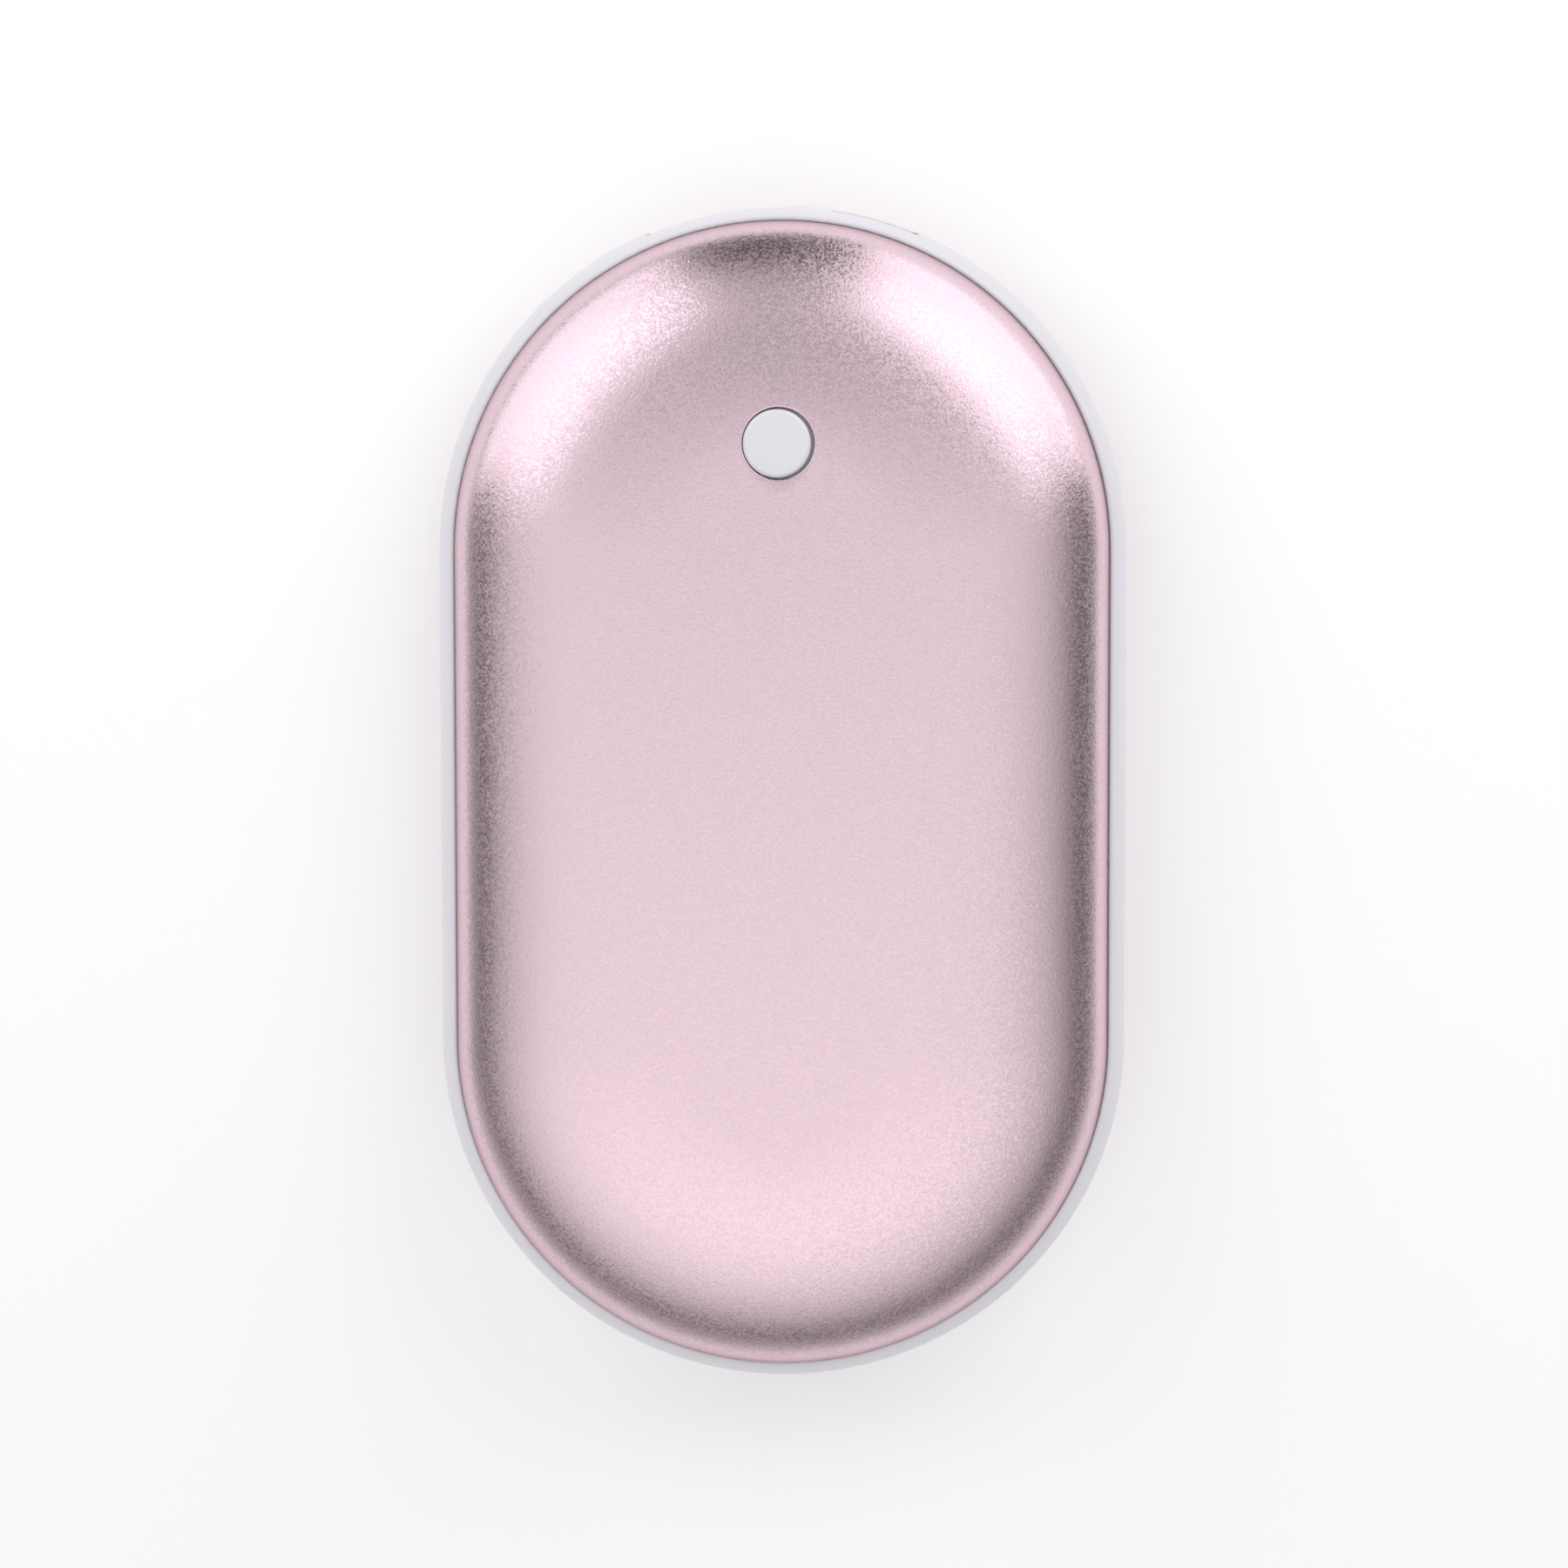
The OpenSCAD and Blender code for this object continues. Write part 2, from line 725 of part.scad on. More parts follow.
module main_board() {
    color("#2f7d4f") lift() difference() {
        intersection() {
            translate([0, arc_y, board_low]) cylinder(r = board_radius, h = board_thickness);
            span([-half_width, board_back_y, board_low], [half_width, end_y, board_top]);
        }
        for (x = [-1, 1]) {
            translate([x * boss_x, boss_y, board_low - overrun])
                cylinder(d = screw_diameter + 2 * shank_gap, h = board_thickness + 2 * overrun);
            span([usb_x + x * usb_width / 2 - leg_width / 2, mouth_y - leg_setback - leg_width,
                board_low - overrun], [usb_x + x * usb_width / 2 + leg_width / 2,
                mouth_y - leg_setback + leg_width, board_top + overrun]);
        }
    }
}

// Folded sheet socket: open at its mouth, closed behind, with spring slots and two legs
module usb_shell() {
    color("#c4c7cc") lift() translate([usb_x, 0, 0]) {
        difference() {
            rounded_bar(usb_width, usb_height, socket_corner, mouth_y - usb_depth, mouth_y);
            rounded_bar(usb_width - 2 * socket_sheet, usb_height - 2 * socket_sheet,
                socket_corner - socket_sheet, mouth_y - usb_depth + socket_sheet, mouth_y + overrun);
            for (x = [-1, 1]) translate([x * spring_slot_x, 0, 0])
                span([-spring_slot_width / 2, mouth_y - spring_slot_setback - spring_slot_length,
                    -usb_height], [spring_slot_width / 2, mouth_y - spring_slot_setback, 0]);
        }
        for (x = [0, 1]) mirror([x, 0, 0])
            span([usb_width / 2 - socket_sheet, mouth_y - leg_setback - leg_width / 2, 0],
                [usb_width / 2, mouth_y - leg_setback + leg_width / 2, board_top + leg_reach]);
    }
}

module usb_tongue() {
    inner_width = usb_width - 2 * (socket_sheet + contact_gap);
    inner_height = usb_height - 2 * (socket_sheet + contact_gap);
    low = -inner_height / 2 + tongue_offset;
    back_y = mouth_y - usb_depth + socket_sheet + contact_gap;
    color("#f0f0ee") lift() translate([usb_x, 0, 0]) {
        span([-tongue_width / 2, back_y + bite, low],
            [tongue_width / 2, mouth_y - tongue_setback, low + tongue_thickness]);
        rounded_bar(inner_width, inner_height, socket_corner - socket_sheet, back_y,
            back_y + usb_root_depth);
    }
}

module usb_contacts() {
    low = -usb_height / 2 + socket_sheet + contact_gap + tongue_offset + tongue_thickness;
    back_y = mouth_y - usb_depth + socket_sheet + contact_gap + usb_root_depth;
    color("#d9b45a") lift() for (side = [-1, 1], x = [usb_contact_inner, usb_contact_outer])
        translate([usb_x + side * x, 0, low])
            span([-usb_contact_width / 2, back_y, 0],
                [usb_contact_width / 2, mouth_y - 2 * tongue_setback, usb_contact_thickness]);
}

// Outline of the small socket: its two lower corners are cut at a slant
module micro_outline(inset) {
    half = micro_width / 2 - inset;
    high = micro_height / 2 - inset;
    polygon([[-half, high], [half, high], [half, 0], [half - micro_slant, -high],
        [-half + micro_slant, -high], [-half, 0]]);
}

module micro_prism(inset, back_y, front_y) {
    translate([micro_x, front_y, micro_z]) rotate([90, 0, 0])
        linear_extrude(height = front_y - back_y) micro_outline(inset);
}

module micro_shell() {
    color("#c4c7cc") lift() difference() {
        micro_prism(0, mouth_y - micro_depth, mouth_y);
        micro_prism(socket_sheet, mouth_y - micro_depth + socket_sheet, mouth_y + overrun);
    }
}

module micro_tongue() {
    back_y = mouth_y - micro_depth + socket_sheet + contact_gap;
    color("#2b2b2e") lift() {
        micro_prism(socket_sheet + contact_gap, back_y, back_y + micro_root_depth);
        translate([micro_x, 0, micro_z])
            span([-micro_tongue_width / 2, back_y + bite, 0],
                [micro_tongue_width / 2, mouth_y - tongue_setback, micro_tongue_thickness]);
    }
}

module micro_contacts() {
    back_y = mouth_y - micro_depth + socket_sheet + contact_gap + micro_root_depth;
    color("#d9b45a") lift() for (k = [-2 : 2])
        translate([micro_x + k * micro_contact_pitch, 0, micro_z])
            span([-micro_contact_width / 2, back_y, -micro_contact_thickness],
                [micro_contact_width / 2, mouth_y - 2 * tongue_setback, 0]);
}

module at_switch() {
    lift() translate([button_x, button_y, 0]) children();
}

module switch_base() {
    color("#26262a") at_switch() difference() {
        translate([-switch_side / 2, -switch_side / 2, board_top])
            cube([switch_side, switch_side, switch_height]);
        translate([0, 0, switch_top - switch_sheet - plunger_depth - button_travel - plunger_gap])
            cylinder(r = plunger_diameter / 2 + plunger_gap, h = mid_height);
    }
}

// Sheet cover with two tabs folded down over the base
module switch_cover() {
    half = switch_side / 2;
    tab_height = switch_height * tab_share;
    color("#bfc2c7") at_switch() {
        difference() {
            translate([-half - switch_sheet, -half, switch_top - switch_sheet])
                cube([switch_side + 2 * switch_sheet, switch_side, switch_sheet]);
            cylinder(r = plunger_diameter / 2 + plunger_gap, h = mid_height);
        }
        for (x = [0, 1]) mirror([x, 0, 0])
            translate([half, -half / 2, switch_top - tab_height])
                cube([switch_sheet, half, tab_height]);
    }
}

module switch_plunger() {
    color("#1d1d20") at_switch()
        translate([0, 0, switch_top - switch_sheet - plunger_depth])
            cylinder(d = plunger_diameter, h = plunger_top - switch_top + switch_sheet + plunger_depth);
}

// Right-angle lamps under the board's edge, each facing its window
module indicator_lamps() {
    color("#e8f0ff") lift() translate([0, arc_y, 0]) for (turn = lamp_turns) rotate(turn)
        span([lamp_front - lamp_depth, -lamp_width / 2, -lamp_width / 2],
            [lamp_front, lamp_width / 2, board_low]);
}

module light_pipes() {
    color("#f6f8fa") lift() translate([0, arc_y, 0]) for (turn = lamp_turns)
        rotate([0, 90, turn]) translate([0, 0, pipe_in])
            cylinder(d = window_diameter - 2 * glue_gap, h = half_width - glue_gap - pipe_in);
}

// Places a small part under the board, at x and at a share of the board's depth
module under_board(x, share) {
    lift() translate([x, board_back_y + share * board_depth, board_low]) mirror_front() children();
}

module chip_body(length, width, height) {
    translate([-length / 2, -width / 2, 0]) cube([length, width, height]);
}

module power_inductor() {
    color("#5b5d61") under_board(inductor_x, inductor_share)
        chip_body(inductor_side, inductor_side, inductor_height);
}

module control_chip() {
    color("#1f2024") under_board(chip_x, chip_share)
        chip_body(chip_length, chip_width, chip_height);
}

module chip_pins() {
    color("#c4c7cc") under_board(chip_x, chip_share) for (y = [0, 1], k = [0 : pin_count - 1])
        mirror([0, y, 0]) translate([(k - (pin_count - 1) / 2) * pin_pitch, chip_width / 2, 0])
            chip_pin();
}

module chip_pin() {
    translate([-pin_width / 2, 0, chip_height / 2])
        cube([pin_width, pin_reach / 2 + pin_thickness, pin_thickness]);
    translate([-pin_width / 2, pin_reach / 2, 0])
        cube([pin_width, pin_thickness, chip_height / 2 + pin_thickness]);
    translate([-pin_width / 2, pin_reach / 2, 0]) cube([pin_width, pin_reach, pin_thickness]);
}

module power_transistors() {
    color("#232327") {
        under_board(first_transistor_x, first_transistor_share) transistor_body();
        under_board(second_transistor_x, second_transistor_share) transistor_body();
    }
}

module transistor_body() {
    chip_body(transistor_width, transistor_length, transistor_height);
}

module ceramic_capacitors() {
    color("#b48a5a") {
        for (share = outer_capacitor_shares) under_board(outer_capacitor_x, share) capacitor_body();
        for (share = left_capacitor_shares)
            under_board(second_transistor_x - capacitor_step, share) capacitor_body();
        under_board(second_transistor_x + capacitor_step, right_capacitor_share) capacitor_body();
    }
}

module capacitor_body() {
    chip_body(capacitor_length, capacitor_width, capacitor_height);
}

// Film that follows the inside of a shell
module heater_film() {
    intersection() {
        difference() {
            crown_space(heater_inset, 0);
            crown_space(heater_inset + heater_thickness, overrun);
        }
        span([-heater_half_width, heater_back_y, band_half_height],
            [heater_half_width, heater_front_y, mid_height]);
    }
}

module front_heater() {
    color("#c98a3c") lift() heater_film();
}

module back_heater() {
    color("#c98a3c") lift() mirror_front() heater_film();
}

module pad(back_y, front_y) {
    intersection() {
        span([-pad_half_width, back_y, pad_low], [pad_half_width, front_y, mid_height]);
        crown_space(pad_inset, 0);
    }
}

module front_foam_pad() {
    color("#4a4d52") lift() pad(pad_back_y, pad_front_y);
}

// Pads between the tray's ribs
module back_foam_pads() {
    half = tray_wall / 2 + seat_gap;
    color("#4a4d52") lift() mirror_front() {
        pad(pad_back_y, -rib_spacing - half);
        pad(-rib_spacing + half, -half);
        pad(half, rib_spacing - half);
        pad(rib_spacing + half, pad_front_y);
    }
}

// Bead against the front heater, past the pad's end
module thermistor() {
    color("#2a2a30") lift()
        translate([thermistor_x, thermistor_y, under_film(thermistor_x, thermistor_diameter)])
            sphere(d = thermistor_diameter);
}

// Height of the middle of a round thing that lies against the front heater's inner face, at x
function under_film(x, diameter) =
    face_height(abs(x) + diameter / 2, heater_inset + heater_thickness) - diameter / 2 - cell_clearance;

function unit(v) = v / norm(v);
// Points of a bend at b, between the directions to a and to c
function bend_points(a, b, c) = let (
        u = unit(a - b) * min(lead_bend, norm(a - b) / 2),
        v = unit(c - b) * min(lead_bend, norm(c - b) / 2))
    [for (k = [0 : bend_steps]) let (t = k / bend_steps)
        pow(1 - t, 2) * (b + u) + 2 * t * (1 - t) * b + t * t * (b + v)];
function route(corners) = concat([corners[0]],
    [for (k = [1 : len(corners) - 2]) each bend_points(corners[k - 1], corners[k], corners[k + 1])],
    [corners[len(corners) - 1]]);
function heading(points, k) = unit(points[min(k + 1, len(points) - 1)] - points[max(k - 1, 0)]);

// Insulated lead along a route with rounded corners
module lead(corners, diameter) {
    points = route(corners);
    count = len(points);
    rings = [for (k = [0 : count - 1]) let (
            along = heading(points, k),
            across = unit(cross(lead_axis, along)),
            up = cross(along, across))
        for (s = [0 : lead_sides - 1]) let (turn = 360 * s / lead_sides)
            points[k] + diameter / 2 * (cos(turn) * across + sin(turn) * up)];
    walls = [for (k = [0 : count - 2], s = [0 : lead_sides - 1]) let (n = (s + 1) % lead_sides)
        each [[k * lead_sides + s, (k + 1) * lead_sides + n, k * lead_sides + n],
            [k * lead_sides + s, (k + 1) * lead_sides + s, (k + 1) * lead_sides + n]]];
    polyhedron(points = rings, faces = concat([[for (s = [0 : lead_sides - 1]) s]], walls,
        [[for (s = [lead_sides - 1 : -1 : 0]) (count - 1) * lead_sides + s]]), convexity = 4);
}

// Red lead: from the positive link up and over to the board
module positive_lead() {
    y = cell_front_y + link_thickness + cell_lead_diameter / 2;
    color("#c22a2a") lift() lead([[lead_x, y, lead_foot], [lead_x, y, lead_height],
        [lead_x, lead_y, lead_height], [lead_x, lead_y, board_top]], cell_lead_diameter);
}

// Black lead: from the negative link along the valley between the cells to the board
module negative_lead() {
    y = cell_back_y - sleeve_wall - link_thickness - cell_clearance - cell_lead_diameter / 2;
    color("#2b2b2e") lift() lead([[0, y, lead_foot], [0, y, valley_height],
        [0, cell_front_y, valley_height], [-lead_x, lead_y, lead_height],
        [-lead_x, lead_y, board_top]], cell_lead_diameter);
}

// Pair of leads from the front heater down to the board's top
module front_heater_leads() {
    color("#e8e6df") lift() for (k = [0, 1]) let (
            x = front_lead_x + k * heater_lead_spacing,
            z = under_film(x, heater_lead_diameter))
        lead([[x, heater_lead_back_y, z], [x, lead_y, z], [x, lead_y, board_top]],
            heater_lead_diameter);
}

// Pair of leads from the back heater up to the board's underside
module back_heater_leads() {
    color("#e8e6df") lift() for (k = [0, 1]) let (
            x = back_lead_x - k * heater_lead_spacing,
            z = -under_film(x, heater_lead_diameter))
        lead([[x, heater_lead_back_y, z], [x, lead_y, z], [x, lead_y, board_low]],
            heater_lead_diameter);
}

// Pair of thin leads from the bead's face down to the board's top
module thermistor_leads() {
    z = under_film(thermistor_x, thermistor_diameter);
    color("#d8cfae") lift() for (side = [-1, 1]) let (
            x = thermistor_x + side * thermistor_lead_spacing / 2)
        lead([[x, thermistor_y + thermistor_diameter / 2 + contact_gap, z], [x, lead_y, z],
            [x, lead_y, board_top]], thermistor_lead_diameter);
}

module screw(length) {
    color("#aeb1b6") {
        translate([0, 0, -length]) cylinder(d = screw_diameter, h = length + screw_head_height / 2);
        difference() {
            cylinder(d = screw_head_diameter, h = screw_head_height);
            for (turn = [0, 90]) rotate(turn)
                translate([-screw_diameter / 2, -cross_width / 2, screw_head_height - cross_depth])
                    cube([screw_diameter, cross_width, screw_head_height]);
        }
    }
}

module tray_screws() {
    lift() for (x = [-1, 1], y = [-1, 1]) translate([x * lug_x, y * lug_spacing, rail_half_height])
        screw(rail_half_height + rebate_floor * screw_depth_share);
}

module board_screws() {
    lift() for (x = [-1, 1]) translate([x * boss_x, boss_y, board_top])
        screw(board_thickness + board_low * screw_depth_share);
}

front_shell();
back_shell();
middle_frame();
front_clip_ring();
back_clip_ring();
power_button();
button_collar();
inner_tray();
left_cell_can();
right_cell_can();
left_cell_sleeve();
right_cell_sleeve();
cell_nubs();
cell_washers();
positive_link();
negative_link();
main_board();
usb_shell();
usb_tongue();
usb_contacts();
micro_shell();
micro_tongue();
micro_contacts();
switch_base();
switch_cover();
switch_plunger();
indicator_lamps();
light_pipes();
power_inductor();
control_chip();
chip_pins();
power_transistors();
ceramic_capacitors();
front_heater();
back_heater();
front_foam_pad();
back_foam_pads();
thermistor();
positive_lead();
negative_lead();
front_heater_leads();
back_heater_leads();
thermistor_leads();
tray_screws();
board_screws();
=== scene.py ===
import math

import bmesh
import bpy
import numpy as np
from mathutils import Matrix, Vector


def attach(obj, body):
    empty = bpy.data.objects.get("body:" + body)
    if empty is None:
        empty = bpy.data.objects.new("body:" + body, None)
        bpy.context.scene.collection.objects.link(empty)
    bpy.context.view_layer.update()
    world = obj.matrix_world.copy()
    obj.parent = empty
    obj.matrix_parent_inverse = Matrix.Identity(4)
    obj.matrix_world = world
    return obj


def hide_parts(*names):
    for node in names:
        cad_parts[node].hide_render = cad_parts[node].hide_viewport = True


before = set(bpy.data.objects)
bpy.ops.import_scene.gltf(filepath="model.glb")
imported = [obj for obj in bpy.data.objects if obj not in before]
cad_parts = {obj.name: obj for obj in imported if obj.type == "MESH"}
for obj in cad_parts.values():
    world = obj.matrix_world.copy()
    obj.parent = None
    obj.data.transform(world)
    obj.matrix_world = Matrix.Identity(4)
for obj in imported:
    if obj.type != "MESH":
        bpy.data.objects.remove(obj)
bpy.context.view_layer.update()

# Camera: a long studio lens on a stand, almost straight above the warmer as it lies
# flat. It leans a little towards the charging end and to the left, as the photograph's.
MM = 0.001
MIDDLE = 12 * MM
CAMERA_DISTANCE = 300 * MM
PHOTO_PIXELS = 1800
FOCAL_PIXELS = 3783.6
OFF_CENTRE_PIXELS = (1.4, 11.5)
LEAN_X = math.radians(3.36)
LEAN_Y = math.radians(-1.74)
TURN = math.radians(0.07)

lens = bpy.data.cameras.new("studio_lens")
lens.sensor_width = 36
lens.lens = lens.sensor_width * FOCAL_PIXELS / PHOTO_PIXELS
lens.shift_x = OFF_CENTRE_PIXELS[0] / PHOTO_PIXELS
lens.shift_y = OFF_CENTRE_PIXELS[1] / PHOTO_PIXELS
lens.clip_start = 10 * MM
lens.clip_end = 10
camera = bpy.data.objects.new("studio_camera", lens)
upright = (Matrix.Rotation(TURN, 3, "Z") @ Matrix.Rotation(LEAN_X, 3, "X")
           @ Matrix.Rotation(LEAN_Y, 3, "Y")).transposed()
stand = Vector((0, 0, MIDDLE)) + upright @ Vector((0, 0, CAMERA_DISTANCE))
camera.matrix_world = Matrix.Translation(stand) @ upright.to_4x4()
bpy.context.scene.collection.objects.link(camera)
bpy.context.scene.camera = camera
bpy.context.scene.view_settings.view_transform = "Standard"


# Studio: a white table in a grey room. A wide soft ceiling light hangs overhead, stronger
# over the plain end, with a dim panel high behind the port end. An upright softbox stands
# off each corner of the port end.
def linear(code):
    """Linear colour of an sRGB hex code: a channel c is c / 12.92 up to 0.04045, and
    ((c + 0.055) / 1.055) to the power of 2.4 above it. Alpha is 1."""
    channels = np.array([int(code[k:k + 2], 16) for k in (1, 3, 5)]) / 255
    curved = ((channels + 0.055) / 1.055) ** 2.4
    return (*np.where(channels > 0.04045, curved, channels / 12.92).tolist(), 1.0)


def add(tree, kind, inputs=None, **settings):
    """Adds a node. An input is a value, or the output of another node, which is linked."""
    node = tree.nodes.new(kind)
    for name, value in settings.items():
        setattr(node, name, value)
    for name, value in (inputs or {}).items():
        if isinstance(value, bpy.types.NodeSocket):
            tree.links.new(value, node.inputs[name])
        else:
            node.inputs[name].default_value = value
    return node


# The room's light levels, and the parts of a direction of length 1 between which each
# changes: its height for HORIZON, WALLS and PANEL_CLIMB, its way along the warmer for
# ENDS, PORT_END and PANEL_REACH, and its share along CEILING_TILT for CEILING_CLIMB.
HORIZON = 0.48
WALLS = 0.14
WALLS_FROM = 0.30
CEILING = 0.97
CEILING_TILT = (-0.06, -0.06, 1.0)
CEILING_CLIMB = (0.45, 0.89)
ENDS = (-0.40, 0.40)
END_LEVELS = (1.30, 0.70)
PORT_END = (0.0, 0.38)
PORT_END_LEVEL = 0.66
PANEL_LEVEL = 0.15
PANEL_CLIMB = (0.44, 0.64)
PANEL_REACH = (0.30, 0.60)

room = bpy.data.worlds.new("grey_room")
bpy.context.scene.world = room
room.use_nodes = True
sky = room.node_tree
sky.nodes.clear()
direction = add(sky, "ShaderNodeTexCoord")
parts = add(sky, "ShaderNodeSeparateXYZ", {"Vector": direction.outputs["Generated"]})
tilted = add(sky, "ShaderNodeVectorMath", {0: direction.outputs["Generated"], 1: CEILING_TILT},
             operation="DOT_PRODUCT")
low = add(sky, "ShaderNodeMapRange",
          {"Value": parts.outputs["Z"], "From Min": 0.0, "From Max": WALLS_FROM,
           "To Min": HORIZON, "To Max": WALLS})
high = add(sky, "ShaderNodeMapRange",
           {"Value": tilted.outputs["Value"], "From Min": CEILING_CLIMB[0],
            "From Max": CEILING_CLIMB[1], "To Min": 0.0, "To Max": CEILING - WALLS})
climb = add(sky, "ShaderNodeMath", {0: low.outputs["Result"], 1: high.outputs["Result"]},
            operation="ADD")
along = add(sky, "ShaderNodeMapRange",
            {"Value": parts.outputs["Y"], "From Min": ENDS[0], "From Max": ENDS[1],
             "To Min": END_LEVELS[0], "To Max": END_LEVELS[1]})
port_side = add(sky, "ShaderNodeMapRange",
                {"Value": parts.outputs["Y"], "From Min": PORT_END[0], "From Max": PORT_END[1],
                 "To Min": 1.0, "To Max": PORT_END_LEVEL})
level = add(sky, "ShaderNodeMath", {0: climb.outputs[0], 1: along.outputs["Result"]},
            operation="MULTIPLY")
level = add(sky, "ShaderNodeMath", {0: level.outputs[0], 1: port_side.outputs["Result"]},
            operation="MULTIPLY")
panel_rise = add(sky, "ShaderNodeMapRange",
                 {"Value": parts.outputs["Z"], "From Min": PANEL_CLIMB[0],
                  "From Max": PANEL_CLIMB[1], "To Min": 0.0, "To Max": PANEL_LEVEL})
panel_side = add(sky, "ShaderNodeMapRange",
                 {"Value": parts.outputs["Y"], "From Min": PANEL_REACH[0],
                  "From Max": PANEL_REACH[1]})
panel = add(sky, "ShaderNodeMath",
            {0: panel_rise.outputs["Result"], 1: panel_side.outputs["Result"]},
            operation="MULTIPLY")
level = add(sky, "ShaderNodeMath", {0: level.outputs[0], 1: panel.outputs[0]}, operation="ADD")
light = add(sky, "ShaderNodeBackground",
            {"Color": (1.0, 1.0, 1.0, 1.0), "Strength": level.outputs[0]})
add(sky, "ShaderNodeOutputWorld", {"Surface": light.outputs[0]})

# Each softbox: its side, its turn round the warmer in degrees, the heights of its low
# and high edges and its width in metres, and its power in watts.
SOFTBOXES = (("right", 48, 0.03, 0.75, 0.56, 1.84),
             ("left", 138, 0.06, 0.72, 0.51, 1.38))
SOFTBOX_DISTANCE = 0.5
for side, turn, low_edge, high_edge, width, watts in SOFTBOXES:
    lamp = bpy.data.lights.new("softbox_" + side, "AREA")
    lamp.shape = "RECTANGLE"
    lamp.size = width
    lamp.size_y = high_edge - low_edge
    lamp.energy = watts
    holder = bpy.data.objects.new("softbox_" + side, lamp)
    towards = Vector((math.cos(math.radians(turn)), math.sin(math.radians(turn)), 0))
    holder.location = towards * SOFTBOX_DISTANCE + Vector((0, 0, (low_edge + high_edge) / 2))
    holder.rotation_mode = "QUATERNION"
    holder.rotation_quaternion = towards.to_track_quat("Z", "Y")
    holder.visible_camera = False
    bpy.context.scene.collection.objects.link(holder)

# Table: matt white laminate. What the lens and a glossy surface see of it is lifted to
# white, and the warmer's soft shadow stays on it.
TABLE_RADIUS = 5.0
TABLE_CORNERS = 96
TABLE_LIFT = 0.16
laminate = bpy.data.materials.new("Matt_White_Laminate")
laminate.use_nodes = True
tree = laminate.node_tree
tree.nodes.clear()
path = add(tree, "ShaderNodeLightPath")
seen = add(tree, "ShaderNodeMath",
           {0: path.outputs["Is Camera Ray"], 1: path.outputs["Is Glossy Ray"]}, operation="ADD")
seen = add(tree, "ShaderNodeMath",
           {0: seen.outputs[0], 1: path.outputs["Is Transmission Ray"]},
           operation="ADD", use_clamp=True)
lift = add(tree, "ShaderNodeMath", {0: seen.outputs[0], 1: TABLE_LIFT}, operation="MULTIPLY")
top = add(tree, "ShaderNodeBsdfPrincipled",
          {"Base Color": linear("#fcfcfc"), "Roughness": 0.9, "Specular IOR Level": 0.0,
           "Emission Color": (1.0, 1.0, 1.0, 1.0), "Emission Strength": lift.outputs[0]})
add(tree, "ShaderNodeOutputMaterial", {"Surface": top.outputs[0]})
angles = np.linspace(0, 2 * np.pi, TABLE_CORNERS, endpoint=False)
rim = np.stack([np.cos(angles), np.sin(angles), np.zeros_like(angles)], 1) * TABLE_RADIUS
table_mesh = bpy.data.meshes.new("table")
table_mesh.from_pydata(rim.tolist(), [], [list(range(len(rim)))])
table_mesh.materials.append(laminate)
table = bpy.data.objects.new("table", table_mesh)
bpy.context.scene.collection.objects.link(table)


# Back shell: a cup drawn from 0.8 mm aluminium sheet, with a crowned face and a short
# skirt, blasted and then anodised rose. Hooks on the ring glued inside it hold it.
def grained(name, colour, grain_mm, relief_mm, rough, stretch=(1, 1, 1), shade=0.05, **sockets):
    """A finish with a grain: noise of the real grain's size, stretched along an axis
    where the surface was drawn or brushed. It raises the surface by the relief, moves the
    roughness between two values and the colour by a share. Returns the material, its
    tree and its shader."""
    made = bpy.data.materials.new(name)
    made.use_nodes = True
    tree = made.node_tree
    tree.nodes.clear()
    where = add(tree, "ShaderNodeTexCoord")
    where = add(tree, "ShaderNodeMapping", {"Vector": where.outputs["Object"],
                                            "Scale": [1 / s for s in stretch]})
    grain = add(tree, "ShaderNodeTexNoise", {"Vector": where.outputs["Vector"],
                                             "Scale": 1 / (grain_mm * MM), "Detail": 2.0})
    raised = add(tree, "ShaderNodeBump", {"Height": grain.outputs["Fac"], "Strength": 1.0,
                                          "Distance": relief_mm * MM})
    shine = add(tree, "ShaderNodeMapRange", {"Value": grain.outputs["Fac"],
                                             "To Min": rough[0], "To Max": rough[1]})
    base = np.array(linear(colour))
    tint = add(tree, "ShaderNodeMix", {0: grain.outputs["Fac"],
                                       6: np.clip(base * (1 - shade), 0, 1).tolist(),
                                       7: np.clip(base * (1 + shade), 0, 1).tolist()},
               data_type="RGBA")
    shader = add(tree, "ShaderNodeBsdfPrincipled",
                 {"Base Color": tint.outputs[2], "Roughness": shine.outputs["Result"],
                  "Normal": raised.outputs["Normal"], **sockets})
    add(tree, "ShaderNodeOutputMaterial", {"Surface": shader.outputs[0]})
    return made, tree, shader


def show(name, mesh, finish, body, slot, *stands_for):
    """Puts a finished mesh on a body, in place of the nodes that it stands for."""
    mesh.materials.clear()
    mesh.materials.append(finish)
    piece = bpy.data.objects.new(name, mesh)
    bpy.context.scene.collection.objects.link(piece)
    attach(piece, body)
    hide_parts(*stands_for)
    return piece


DOUBLES = 0.0005 * MM
SHARP = math.radians(32)


def smooth(mesh, turn_out=False):
    """Merges a mesh's doubles and makes its soft edges smooth. A closed mesh that is
    inside out is turned, where turn_out says so."""
    work = bmesh.new()
    work.from_mesh(mesh)
    bmesh.ops.remove_doubles(work, verts=work.verts, dist=DOUBLES)
    if turn_out and work.calc_volume(signed=True) < 0:
        bmesh.ops.reverse_faces(work, faces=work.faces)
    work.to_mesh(mesh)
    work.free()
    mesh.shade_smooth()
    mesh.set_sharp_from_angle(angle=SHARP)
    return mesh


